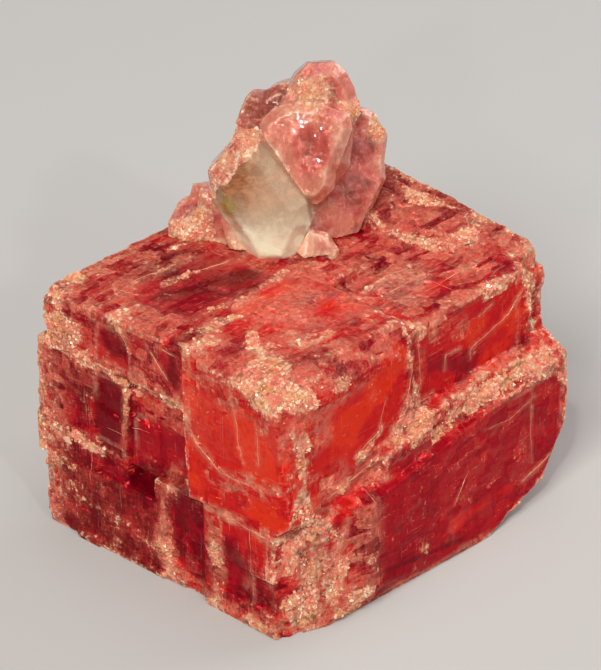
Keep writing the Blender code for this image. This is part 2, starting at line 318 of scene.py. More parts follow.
def marks_of(kind: Kind, face: Face, strokes: tuple[tuple, ...]) -> tuple[Mark, ...]:
    """Marks of one kind on one face, each given by its width and its points."""
    return tuple(Mark(kind, face, width, points) for width, points in strokes)


@dataclass(frozen=True)
class RhombZones:
    """What each part of the big rhomb is like. Low a is its right, low b its left, and high c its top."""

    clear: tuple[Region, ...] = (
        Region((16.3, 19.9), (-2, 2.5), (17.6, 21.0)),
        Region((10.9, 12.8), (-2, 2.5), (18.4, 22.2)),
        Region((17.7, 20.7), (-2, 3), (10.2, 15.8)),
        Region((10.9, 16.8), (-2, 3), (9.9, 13.4)),
        Region((8.2, 11.6), (-2, 2), (4.8, 8.9)),
        Region((14.3, 17.8), (-2, 3), (6.2, 8.8), 0.8),
        Region((0.1, 9.6), (-2, 0.8), (10.0, 19.6), 0.95),
        Region((3.6, 7.0), (-2, 2), (3.4, 8.8), 0.6),
        Region((-1.2, 2.5), (16.2, 27.6), (14.2, 20.6)),
        Region((-1.2, 2.5), (15.0, 15.9), (14.5, 20.6), 0.8),
        Region((-1.2, 2), (3.0, 13.2), (9.6, 19.4), 0.8),
        Region((-3.4, -1.2), (8.2, 30.4), (0.5, 12.0)),
        Region((13.2, 20.0), (3.2, 13.0), (20.5, 23.3), 0.95),
        Region((3.2, 12.2), (6.4, 16.0), (20.5, 23.3), 0.78),
        Region((2.4, 7.0), (17.5, 24.0), (20.5, 23.3), 0.65),
    )
    # The bright regions are painted glow: the red is brighter where light passes through the crystal.
    bright: tuple[Region, ...] = (
        Region((-0.6, 9.8), (-2, 3), (10.0, 21.0), 0.66, 1.2),
        Region((-0.4, 8.6), (-2, 3), (4.5, 9.6), 0.4, 1.0),
        Region((-1.5, 3), (1.5, 13.5), (8.0, 19.5), 0.6, 1.4),
        Region((-1.2, 2), (16.0, 28.0), (13.6, 20.6), 0.3, 1.2),
        Region((2.0, 12.0), (4.0, 17.0), (20.5, 23.3), 0.6, 1.5),
    )
    dark: tuple[Region, ...] = (
        Region((-3.4, -1.2), (6.0, 15.5), (-1.0, 13.5), 0.75, 2.0),
        Region((-3.4, -1.2), (15.0, 33.0), (-1.0, 13.5), 0.42, 2.0),
        Region((11.0, 24.8), (-2, 3), (-1.0, 8.0), 1.0, 1.6),
        Region((9.9, 17.6), (-2, 3), (4.0, 9.6), 0.9, 1.0),
        Region((0.0, 11.0), (-2, 3), (-1.0, 7.0), 0.6, 1.2),
        Region((-2, 16), (21.0, 34), (22.4, 27), 1.0, 1.5),
        Region((10.0, 17.6), (-2, 3), (9.6, 13.6), 0.35, 0.6),
        Region((17.5, 25.2), (-2, 3), (6.5, 16.0), 0.75, 1.4),
        Region((9.9, 27.0), (-2, 3), (16.0, 22.0), 0.2, 1.0),
        Region((12.0, 23.0), (3.0, 13.0), (20.5, 23.3), 0.4, 1.5),
        Region((-1.0, 12.0), (13.0, 24.0), (20.5, 23.3), 0.35, 2.0),
    )
    hazy: tuple[Region, ...] = (
        # The first region veils the whole top face pinker: partly its real veils and partly a painted sheen
        # that the top catches.
        Region((-2, 30), (-2, 34), (20.6, 26), 0.8),
        Region((9.9, 28), (-2, 3), (13.5, 23), 0.5),
        Region((-1.5, 9.8), (-2, 3), (18.5, 23), 0.6),
        Region((-2.6, 3), (1.0, 9.0), (-1, 10.0), 0.85),
        Region((-1.2, 3), (8.0, 15.0), (-1, 10.0), 0.6),
        Region((13.0, 28.5), (-2, 3), (-1.0, 6.6), 0.3),
        Region((24.0, 28.5), (-2, 3), (-1.0, 17.5), 0.8, 1.0),
        Region((-3.4, -1.2), (15.0, 29.0), (3.0, 12.5), 0.6, 2.0),
    )
    crusted: tuple[Region, ...] = (
        Region((24.8, 28.5), (-1.5, 22.0), (-1.0, 17.5), 0.35),
        Region((1.0, 24.0), (28.0, 32.5), (-1.0, 25.0), 0.35),
        Region((-1.6, 3.0), (1.5, 9.0), (-1.0, 5.0), 0.2),
        Region((0.0, 9.0), (-1.5, 2.5), (20.4, 23), 0.2),
        Region((13.0, 28.5), (-2, 3), (-1.0, 6.6), 0.12),
        Region((20.0, 28.5), (-2, 3), (6.6, 17.0), 0.2),
        Region((-2.4, 3), (12.5, 30.0), (12.0, 14.2), 0.45),
        Region((-2.6, -0.6), (4.0, 8.0), (0.0, 9.0), 0.22),
        Region((-2, 14), (26.5, 33), (22.6, 27), 0.4),
    )
    marks: tuple[Mark, ...] = (
        *marks_of(Kind.CRUST, Face.RIGHT, (
            (2.2, ((30.8, 13.2), (27.6, 12.2), (23.8, 11.8), (20.7, 11.3),
                (17.7, 10.9), (14.3, 10.7), (11.1, 10.4))),
            (2.9, ((21.3, 11.7), (18.7, 11.1))),
            (1.4, ((14.1, 21.7), (14.6, 17.0), (14.3, 13.0))),
            (0.7, ((13.9, 17.0), (13.2, 14.6), (11.2, 12.6), (8.3, 11.3), (5.0, 10.7))),
            (0.5, ((11.0, 16.6), (10.2, 14.2), (8.0, 13.0))),
            (0.8, ((3.2, 9.6), (3.0, 6.2), (4.4, 3.6), (4.2, 0.8))),
            (0.8, ((5.6, 2.6), (7.6, 4.0), (9.6, 5.2))),
            (1.4, ((9.9, 7.7), (12.9, 8.5), (17.2, 9.8))),
            (2.2, ((1.3, 17.4), (1.2, 5.4))),
            (2.0, ((1.4, 4.7), (1.5, -0.3))),
            (1.2, ((1.9, 8.9), (5.7, 7.5), (8.4, 7.8))),
            (1.7, ((1.3, 6.3), (4.1, 5.2), (7.2, 5.3), (9.6, 6.5))),
            (1.9, ((4.6, 0.6), (7.2, 1.2))),
            (1.4, ((29.5, 19.3), (30.2, 13.4))),
        )),
        *marks_of(Kind.LINE, Face.RIGHT, (
            (0.5, ((14.4, 20.3), (13.4, 15.7), (11.5, 13.0), (8.5, 11.8), (3.9, 11.1))),
            (0.4, ((15.3, 21.2), (15.7, 16.6), (14.6, 13.6), (12.7, 11.9))),
            (0.3, ((11.1, 17.0), (10.1, 14.5), (7.4, 13.4))),
            (0.3, ((28.2, 19.4), (25.9, 17.4), (22.1, 16.5), (21.8, 15.7))),
            (0.3, ((20.6, 17.1), (18.9, 17.2), (18.8, 15.9))),
            (0.3, ((24.6, 19.5), (23.1, 19.0))),
            (0.5, ((17.4, 14.5), (14.7, 14.5), (12.0, 14.2))),
            (0.4, ((22.6, 14.0), (19.5, 13.7), (17.7, 12.3))),
            (0.3, ((25.1, 13.1), (21.3, 12.9))),
            (0.4, ((6.4, 0.9), (7.7, 1.9), (9.5, 2.8))),
            (0.3, ((5.6, 1.8), (7.0, 3.0), (8.8, 3.9))),
            (0.4, ((3.0, 1.6), (4.6, 3.4), (6.2, 6.6))),
            (0.4, ((2.8, 4.4), (4.2, 6.0), (5.6, 9.0))),
            (0.3, ((2.6, 7.0), (3.6, 8.4), (4.4, 10.4))),
        )),
        *marks_of(Kind.VEIL, Face.RIGHT, (
            (1.9, ((17.7, 19.7), (20.3, 19.1))),
            (2.2, ((4.8, 13.3), (3.9, 10.6))),
            (2.0, ((7.3, 9.0), (8.5, 10.7), (11.7, 11.9))),
            (1.2, ((14.0, 19.3), (13.2, 15.7), (11.4, 13.2), (8.5, 11.8), (3.9, 11.1))),
        )),
        *marks_of(Kind.GLOW, Face.RIGHT, (
            (1.9, ((22.5, 17.7), (26.5, 17.5))),
            (1.4, ((24.3, 14.4), (26.3, 15.1), (27.5, 17.8))),
            (2.6, ((12.4, 20.2), (9.7, 17.8), (6.6, 16.1))),
        )),
        *marks_of(Kind.DARK, Face.RIGHT, (
            (1.5, ((17.1, 17.3), (21.3, 15.7))),
            (1.2, ((22.5, 16.1), (25.0, 18.0))),
        )),
        *marks_of(Kind.CRUST, Face.SLAB, (
            (1.5, ((24.3, 0.1), (27.2, 1.0), (29.2, 2.4))),
            (0.7, ((13.4, 3.8), (13.7, 2.4))),
            (1.0, ((5.0, 2.3), (7.3, 2.0), (5.0, 0.4))),
            (0.9, ((28.3, 12.5), (31.1, 10.7))),
        )),
        *marks_of(Kind.LINE, Face.SLAB, (
            (0.14, ((26.7, 12.3), (26.8, 4.6))),
            (0.5, ((25.7, 3.3), (27.8, 3.8), (29.9, 4.6))),
            (0.14, ((27.2, 10.7), (23.6, 9.9), (20.7, 10.4))),
            (0.14, ((19.0, 7.5), (17.2, 5.1))),
        )),
        *marks_of(Kind.SEAM, Face.SLAB, (
            (0.3, ((7.3, 3.2), (18.1, 1.4))),
        )),
        *marks_of(Kind.GLOW, Face.SLAB, (
            (1.0, ((17.2, 3.2), (20.0, 3.5), (24.3, 3.6))),
        )),
        *marks_of(Kind.CRUST, Face.LEFT, (
            (1.2, ((10.5, 22.5), (7.5, 23.6))),
            (1.7, ((4.2, 22.3), (2.3, 21.0))),
            (1.3, ((1.9, 20.8), (-0.3, 20.7), (-2.1, 20.2))),
            (2.2, ((25.1, 21.3), (24.3, 19.0), (22.6, 19.2))),
            (1.4, ((25.9, 17.0), (21.0, 16.9), (17.5, 16.1), (10.9, 16.3))),
            (0.9, ((25.2, 9.1), (21.5, 8.9), (17.9, 9.1))),
            (0.3, ((13.0, 9.3), (13.6, 5.0), (13.1, 1.7))),
            (1.2, ((27.0, 6.3), (27.4, -0.6))),
            (1.0, ((17.0, 7.8), (13.9, 8.0), (11.4, 9.2))),
            (1.2, ((11.2, 0.2), (9.1, -0.8))),
            (1.2, ((25.6, -1.3), (18.6, -1.4), (13.0, -1.2))),
            (0.4, ((7.4, 8.5), (7.1, 5.0), (7.4, 0.6))),
            (0.5, ((12.4, 0.6), (6.4, 0.5), (0.4, 0.7))),
        )),
        *marks_of(Kind.LINE, Face.LEFT, (
            (0.5, ((10.5, 17.1), (8.8, 14.6), (6.3, 13.0), (3.2, 13.2), (0.1, 13.6))),
            (0.5, ((11.2, 9.3), (7.4, 9.3), (3.4, 9.2), (-0.0, 8.9))),
            (0.3, ((5.0, 21.5), (4.3, 16.5), (3.8, 14.8))),
            (0.3, ((2.4, 19.0), (2.3, 15.4))),
            (0.4, ((19.1, 22.6), (17.5, 21.1), (16.2, 19.6))),
            (0.3, ((14.5, 21.2), (13.2, 19.9), (12.0, 18.6))),
            (0.3, ((13.1, 21.4), (11.2, 21.2))),
            (0.3, ((17.5, 16.1), (17.9, 9.3))),
            (0.3, ((3.3, 9.2), (3.3, 2.4))),
            (0.3, ((1.6, 8.6), (1.5, 4.6))),
        )),
        *marks_of(Kind.VEIL, Face.LEFT, (
            (1.3, ((10.5, 17.1), (8.8, 14.6), (6.3, 13.0), (3.2, 13.2), (0.1, 13.6))),
            (1.0, ((11.2, 9.3), (7.4, 9.3), (3.4, 9.2), (-0.0, 8.9))),
            (2.2, ((6.9, 21.5), (5.7, 19.9))),
            (1.7, ((7.5, 12.5), (4.3, 11.9))),
            (1.7, ((15.4, 18.1), (14.4, 17.4), (11.3, 16.8))),
            (1.8, ((13.0, 9.3), (13.6, 5.0), (13.1, 1.7))),
            (1.2, ((7.4, 8.5), (7.1, 5.0), (7.4, 0.6))),
            (1.7, ((12.4, 0.7), (0.2, 0.8))),
            (1.4, ((9.3, 21.4), (5.2, 21.0), (1.6, 19.0))),
        )),
        *marks_of(Kind.GLOW, Face.LEFT, (
            (1.4, ((9.4, 21.4), (9.7, 17.0))),
            (2.9, ((3.7, 18.5), (1.9, 14.8))),
            (1.4, ((2.6, 11.1), (0.3, 10.8))),
            (1.2, ((9.5, 14.4), (9.0, 11.0))),
            (1.0, ((16.5, 15.0), (13.8, 15.3), (11.0, 15.6))),
            (1.2, ((13.0, 9.3), (13.6, 5.0), (13.1, 1.7))),
            (1.4, ((12.4, 0.6), (0.2, 0.7))),
        )),
        *marks_of(Kind.DARK, Face.LEFT, (
            (2.2, ((19.4, 14.5), (19.1, 10.8))),
            (1.9, ((18.4, 20.3), (17.6, 19.5))),
            (1.5, ((11.6, 22.1), (11.5, 19.2))),
            (1.7, ((9.7, 8.4), (9.6, 7.0))),
            (1.5, ((5.3, 7.1), (4.7, 5.5))),
        )),
        *marks_of(Kind.CRUST, Face.TOP, (
            (0.7, ((13.0, 2.4), (12.7, 5.6), (12.5, 9.2), (13.0, 14.0))),
            (0.9, ((19.1, 6.6), (18.6, 9.6))),
            (0.9, ((23.0, 10.5), (22.3, 13.8))),
            (1.2, ((11.9, 1.7), (11.1, 3.7), (10.6, 6.2))),
            (1.2, ((7.4, 4.3), (4.8, 2.6))),
            (0.9, ((5.6, 4.4), (4.1, 6.1))),
            (1.4, ((-1.2, 5.7), (-1.6, 8.0), (-1.6, 9.6))),
            (1.2, ((4.1, 7.2), (3.5, 8.8))),
            (1.2, ((1.7, 14.9), (-0.1, 15.7))),
            (1.0, ((0.4, 24.3), (-0.4, 27.6))),
            (0.9, ((13.8, 24.6), (7.8, 25.5), (6.0, 28.3))),
        )),
        *marks_of(Kind.LINE, Face.TOP, (
            (0.4, ((18.4, 9.4), (17.8, 12.6))),
            (0.3, ((21.6, 3.2), (19.3, 4.0))),
            (0.3, ((20.7, 1.9), (20.9, 5.0), (20.5, 9.1))),
            (0.3, ((5.3, 15.1), (1.9, 15.4))),
            (0.4, ((7.3, 17.1), (7.4, 20.7), (6.7, 23.6))),
            (0.4, ((5.6, 17.0), (5.7, 20.7), (5.4, 23.9))),
            (0.3, ((3.8, 20.2), (3.8, 23.9), (3.6, 26.8))),
        )),
        *marks_of(Kind.VEIL, Face.TOP, (
            (1.8, ((10.3, 3.4), (7.6, 5.0), (3.4, 6.6))),
            (2.6, ((25.2, 2.3), (25.1, 6.4), (24.4, 10.2))),
            (2.9, ((8.9, 20.7), (5.7, 21.8), (4.3, 26.4))),
        )),
        *marks_of(Kind.GLOW, Face.TOP, (
            (1.5, ((11.7, 9.9), (11.1, 12.2))),
            (1.2, ((11.1, 6.6), (9.9, 8.1))),
            (1.7, ((6.4, 12.0), (5.4, 13.8))),
            (1.7, ((4.2, 20.1), (3.5, 22.4))),
        )),
        *marks_of(Kind.DARK, Face.TOP, (
            (1.6, ((17.7, 4.6), (16.5, 7.8), (15.1, 12.1))),
            (1.2, ((21.1, 9.2), (20.8, 11.8))),
            (1.6, ((5.0, 7.6), (3.6, 11.4))),
            (1.3, ((8.2, 10.4), (7.4, 13.4))),
            (1.2, ((2.6, 3.6), (1.4, 6.4))),
            (1.5, ((5.1, 14.7), (4.1, 17.1))),
        )),
        *marks_of(Kind.CRUST, Face.BACK_TOP, (
            (1.4, ((12.7, 28.9), (10.4, 29.1), (7.8, 28.6))),
            (0.9, ((7.0, 27.7), (2.4, 27.8))),
        )),
        *marks_of(Kind.DARK, Face.BACK_TOP, (
            (1.7, ((9.2, 23.4), (6.5, 25.2))),
        )),
    )

    def amounts(self, regions: tuple[Region, ...], skew: Array) -> Array:
        """The strongest region's amount at each point.

        Args:
            regions: one of the lists of regions.
            skew: places as rows of (a, b, c).

        Returns:
            From 0 to 1 for each point.
        """
        return np.max([region.amount(skew) for region in regions], axis=0)

    def strokes(self, skew: Array, wobble: Array) -> dict[Kind, Array]:
        """The strongest stroke of each kind at each point.

        Args:
            skew: places as rows of (a, b, c).
            wobble: what is added to each distance, in mm.

        Returns:
            From 0 to 1 for each point, by kind.
        """
        found = {kind: np.zeros(len(skew)) for kind in Kind}
        for mark in self.marks:
            found[mark.kind] = np.maximum(found[mark.kind], mark.amount(skew, wobble))
        return found


# --------------------------------------------------------------------------------------------------
# Meshes as arrays
# --------------------------------------------------------------------------------------------------


@dataclass
class Skin:
    """A mesh as arrays, and what is painted on its points."""

    points: Array
    faces: Array
    paint: dict[str, Array] = field(default_factory=dict)

    @classmethod
    def of(cls, mesh: bpy.types.Mesh) -> Skin:
        """Reads a mesh of faces that all have the same number of corners.

        Args:
            mesh: the mesh to read.

        Returns:
            Its points in metres, and its faces.
        """
        points = np.empty(len(mesh.vertices) * 3, np.float32)
        mesh.vertices.foreach_get("co", points)
        corners = np.empty(len(mesh.loops), np.int32)
        mesh.loops.foreach_get("vertex_index", corners)
        return cls(points.reshape(-1, 3).astype(float), corners.reshape(len(mesh.polygons), -1))

    def triangles(self) -> Array:
        """The faces as triangles, each quad as two."""
        if self.faces.shape[1] == 3:
            return self.faces
        return np.concatenate([self.faces[:, [0, 1, 2]], self.faces[:, [0, 2, 3]]])

    def face_normals(self) -> tuple[Array, Array]:
        """The triangles' normals and areas, from the cross product of two sides.

        Returns:
            One unit normal and one area for each triangle.
        """
        first, second, third = (self.points[self.triangles()[:, corner]] for corner in range(3))
        cross = np.cross(second - first, third - first)
        length = np.linalg.norm(cross, axis=1)
        return cross / np.maximum(length, 1e-18)[:, None], length / 2

    def volume(self) -> float:
        """The volume inside the skin: a sixth of the triple product of each triangle's corners, added up.

        Returns:
            The volume, below zero where the faces point inwards.
        """
        first, second, third = (self.points[self.triangles()[:, corner]] for corner in range(3))
        middle = self.points.mean(axis=0)
        return float(np.einsum("nd,nd->", first - middle, np.cross(second - middle, third - middle))) / 6

    def normals(self) -> Array:
        """The points' normals: the triangles' normals added up by area.

        Returns:
            One unit normal for each point.
        """
        direction, area = self.face_normals()
        triangles = self.triangles()
        total = np.zeros_like(self.points)
        for axis in range(3):
            weights = np.repeat(direction[:, axis] * area, 3)
            total[:, axis] = np.bincount(triangles.ravel(), weights, len(self.points))
        return total / np.maximum(np.linalg.norm(total, axis=1), 1e-18)[:, None]

    def relaxed(self, values: Array, rounds: int) -> Array:
        """Values spread over the mesh: each round, every point takes the mean of its neighbours.

        Args:
            values: one row for each point.
            rounds: how many times.

        Returns:
            The spread values.
        """
        ring = np.roll(self.faces, -1, axis=1)
        start, end = self.faces.ravel(), ring.ravel()
        both = np.concatenate([start, end])
        other = np.concatenate([end, start])
        count = np.bincount(both, minlength=len(self.points))
        table = values.reshape(len(values), -1)
        for _ in range(rounds):
            sums = [np.bincount(both, column[other], len(self.points)) for column in table.T]
            table = np.stack(sums, axis=1) / np.maximum(count, 1)[:, None]
        return table.reshape(values.shape)

    def ridges(self, rounds: int, full: float) -> Array:
        """How far each point stands out of the relaxed mesh, along its normal.

        Args:
            rounds: how far the mesh is relaxed.
            full: the distance in mm that counts as 1.

        Returns:
            From -1 in a hollow to 1 on a ridge.
        """
        apart = self.points - self.relaxed(self.points, rounds)
        return np.clip(np.sum(apart * self.normals(), axis=1) / (full * MM), -1, 1)

    def piece(self, name: str) -> bpy.types.Object:
        """Makes an object of the skin, with its paint as point attributes.

        Args:
            name: the object's name.

        Returns:
            The object, in the scene.
        """
        mesh = bpy.data.meshes.new(name)
        mesh.from_pydata(self.points, [], self.faces)
        for label, values in self.paint.items():
            layer = mesh.attributes.new(label, "FLOAT", "POINT")
            layer.data.foreach_set("value", values.astype(np.float32))
        made = bpy.data.objects.new(name, mesh)
        bpy.context.scene.collection.objects.link(made)
        return made


def merged_copy(node: bpy.types.Object, name: str) -> bpy.types.Object:
    """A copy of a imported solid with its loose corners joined.

    Args:
        node: the solid.
        name: the copy's name.

    Returns:
        The copy, in the scene.
    """
    bm = bmesh.new()
    bm.from_mesh(node.data)
    bmesh.ops.remove_doubles(bm, verts=bm.verts, dist=1e-6)
    mesh = bpy.data.meshes.new(name)
    bm.to_mesh(mesh)
    bm.free()
    made = bpy.data.objects.new(name, mesh)
    bpy.context.scene.collection.objects.link(made)
    return made


def fine_skin(node: bpy.types.Object, grain: float, skewed: bool) -> Skin:
    """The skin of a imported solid, cut in even squares of a given size and laid back on the solid's faces.

    Args:
        node: the solid.
        grain: the squares' size in mm.
        skewed: lays the squares along the rhomb's edges.

    Returns:
        The fine skin.
    """
    copy = merged_copy(node, "working_copy")
    points = np.empty(len(copy.data.vertices) * 3, np.float32)
    copy.data.vertices.foreach_get("co", points)
    points = points.reshape(-1, 3).astype(float)
    if skewed:
        points = FRAME.to_skew(points) * MM
        points[:, 0] *= -1
        copy.data.vertices.foreach_set("co", points.astype(np.float32).ravel())
        copy.data.update()
    fine = copy.copy()
    fine.data = copy.data.copy()
    bpy.context.scene.collection.objects.link(fine)
    squares = fine.modifiers.new("squares", "REMESH")
    squares.mode = "VOXEL"
    squares.voxel_size = grain * MM
    squares.adaptivity = 0
    laid = fine.modifiers.new("laid", "SHRINKWRAP")
    laid.target = copy
    laid.wrap_method = "NEAREST_SURFACEPOINT"
    graph = bpy.context.evaluated_depsgraph_get()
    skin = Skin.of(bpy.data.meshes.new_from_object(fine.evaluated_get(graph)))
    if skewed:
        skin.points[:, 0] *= -1
        skin.points = FRAME.to_world(skin.points / MM)
    bpy.data.objects.remove(fine)
    bpy.data.objects.remove(copy)
    return skin


def seated(points: Array, drop: float = 0.42, reach: float = 3.0) -> Array:
    """Points of a crystal on the rhomb's top, drawn down at its foot so that it grows out of the rhomb.

    Args:
        points: places in metres, as rows.
        drop: how far the lowest one moves, in mm.
        reach: the height over which this fades, in mm.

    Returns:
        The moved points.
    """
    moved = points.copy()
    foot = points[:, 2].min() / MM
    moved[:, 2] -= drop * MM * (1 - ramp(points[:, 2] / MM, foot, foot + reach))
    return moved


def drawn_to(points: Array, others: Array, reach: float = 0.9) -> Array:
    """Closes a narrow gap: points near another skin are moved onto the nearest point of it.

    Args:
        points: the places, in metres.
        others: the other skin's places.
        reach: how near they must be, in mm; between 0.6 of this and this they move part of the way.

    Returns:
        The places, those near the other skin moved.
    """
    limit = reach * MM
    near = np.all((points > others.min(axis=0) - limit) & (points < others.max(axis=0) + limit), axis=1)
    chosen = points[near]
    nearest = np.concatenate(
        [
            ((part**2).sum(axis=1)[:, None] + (others**2).sum(axis=1) - 2 * part @ others.T).argmin(1)
            for part in np.array_split(chosen, 1 + len(chosen) // 2000)
        ]
    )
    toward = others[nearest] - chosen
    away = np.linalg.norm(toward, axis=1) / MM
    moved = points.copy()
    moved[near] += toward * (1 - ramp(away, reach * 0.6, reach))[:, None]
    return moved


def kept_inside(points: Array, low: Vector, high: Vector) -> Array:
    """Points pulled back to a box.

    Args:
        points: places in metres, as rows.
        low: the box's lowest corner.
        high: its highest corner.

    Returns:
        The points, none outside the box.
    """
    return np.clip(points, np.array(low), np.array(high))


# --------------------------------------------------------------------------------------------------
# Shader graphs
# --------------------------------------------------------------------------------------------------


class Graph:
    """Lays nodes in a tree. A value may be a number, a colour of the palette or another node's socket."""

    def __init__(self, tree: Tree) -> None:
        """Works in this tree."""
        self.tree = tree

    def node(self, kind: str, settings: dict | None = None, inputs: dict | None = None) -> Node:
        """Adds a node.

        Args:
            kind: the node's type, without ShaderNode.
            settings: its properties.
            inputs: what goes in its sockets, by name or number.

        Returns:
            The node.
        """
        made = self.tree.nodes.new("ShaderNode" + kind)
        for name, value in (settings or {}).items():
            setattr(made, name, value)
        self.fill(made, inputs or {})
        return made

    def fill(self, node: Node, inputs: dict) -> None:
        """Links a node's sockets, or sets their plain values.

        Args:
            node: the node.
            inputs: what goes in its sockets, by name or number.
        """
        for name, given in inputs.items():
            socket = node.inputs[name]
            value = given.value if isinstance(given, Enum) else given
            if isinstance(value, Socket):
                self.tree.links.new(value, socket)
            elif socket.type == "RGBA" and len(value) == 3:
                socket.default_value = (*value, 1)
            else:
                socket.default_value = value

    def group(self, tree: Tree, inputs: dict | None = None) -> Node:
        """Places a shared group."""
        return self.node("Group", {"node_tree": tree}, inputs)

    def math(self, operation: str, *values: object, clamp: bool = False) -> Socket:
        """A Math node.

        Args:
            operation: what it does.
            values: its inputs in order.
            clamp: keeps the answer from 0 to 1.

        Returns:
            Its output.
        """
        settings = {"operation": operation, "use_clamp": clamp}
        return self.node("Math", settings, dict(enumerate(values))).outputs[0]

    def add(self, first: object, second: object) -> Socket:
        """The sum of two values."""
        return self.math("ADD", first, second)

    def times(self, first: object, second: object) -> Socket:
        """The product of two values."""
        return self.math("MULTIPLY", first, second)

    def most(self, first: object, second: object) -> Socket:
        """The larger of two values."""
        return self.math("MAXIMUM", first, second)

    def rest(self, value: object) -> Socket:
        """1 less a value."""
        return self.math("SUBTRACT", 1.0, value)

    def graded(self, value: object, gain: object, start: object) -> Socket:
        """A value times a gain, plus a start."""
        return self.math("MULTIPLY_ADD", value, gain, start)

    def centred(self, value: object, gain: float) -> Socket:
        """A value from 0 to 1 moved to lie about 0, times a gain."""
        return self.graded(value, gain, -gain / 2)

    def above(self, value: object, level: object, gain: float) -> Socket:
        """How far a value lies above a level, times a gain, kept from 0 to 1."""
        return self.math("MULTIPLY", self.math("SUBTRACT", value, level), gain, clamp=True)

    def vector(self, operation: str, *values: object) -> Node:
        """A Vector Math node.

        Args:
            operation: what it does.
            values: its inputs in order.

        Returns:
            The node.
        """
        return self.node("VectorMath", {"operation": operation}, dict(enumerate(values)))

    def stretched(self, place: object, scale: tuple[float, float, float]) -> Socket:
        """A place multiplied axis by axis."""
        return self.vector("MULTIPLY", place, scale).outputs[0]

    def axis(self, place: object, number: int) -> Socket:
        """One of a place's three values."""
        return self.node("SeparateXYZ", None, {0: place}).outputs[number]

    def mix(self, amount: object, first: object, second: object) -> Socket:
        """A blend of two colours: the first where the amount is 0, and the second where it is 1."""
        return self.node("Mix", {"data_type": "RGBA"}, {0: amount, 6: first, 7: second}).outputs[2]

    def step(self, value: object, low: object, high: float) -> Socket:
        """0 where a value is below low, 1 where it is above high, and a soft S between."""
        inputs = {"Value": value, "From Min": low, "From Max": high}
        return self.node("MapRange", {"interpolation_type": "SMOOTHSTEP"}, inputs).outputs["Result"]

    def noise(self, place: object, scale: float, detail: float = 2.0, rough: float = 0.5) -> Socket:
        """Soft noise.

        Args:
            place: where it is read.
            scale: how fine it is.
            detail: how many layers it has.
            rough: how strong the fine layers are.

        Returns:
            From 0 to 1, mostly near 0.5.
        """
        inputs = {"Vector": place, "Scale": scale, "Detail": detail, "Roughness": rough}
        return self.node("TexNoise", None, inputs).outputs["Fac"]

    def cells(self, place: object, scale: object) -> Socket:
        """Square cells, each with a colour of its own."""
        settings = {"voronoi_dimensions": "3D", "distance": "CHEBYCHEV"}
        return self.node("TexVoronoi", settings, {"Vector": place, "Scale": scale}).outputs["Color"]

    def painted(self, name: str) -> Socket:
        """A value painted on the piece."""
        return self.node("Attribute", {"attribute_name": name}).outputs["Fac"]


def new_group(name: str, inputs: dict[str, object], outputs: dict[str, str]) -> tuple[Graph, Node, Node]:
    """An empty shader group with named sockets.

    Args:
        name: the group's name.
        inputs: each input's default, a number or a vector.
        outputs: each output's socket type.

    Returns:
        A graph on the group, its input node and its output node.
    """
    tree = bpy.data.node_groups.new(name, "ShaderNodeTree")
    for label, default in inputs.items():
        kind = VECTOR if isinstance(default, tuple) else FLOAT
        tree.interface.new_socket(label, in_out="INPUT", socket_type=kind).default_value = default
    for label, kind in outputs.items():
        tree.interface.new_socket(label, in_out="OUTPUT", socket_type=kind)
    return Graph(tree), tree.nodes.new("NodeGroupInput"), tree.nodes.new("NodeGroupOutput")


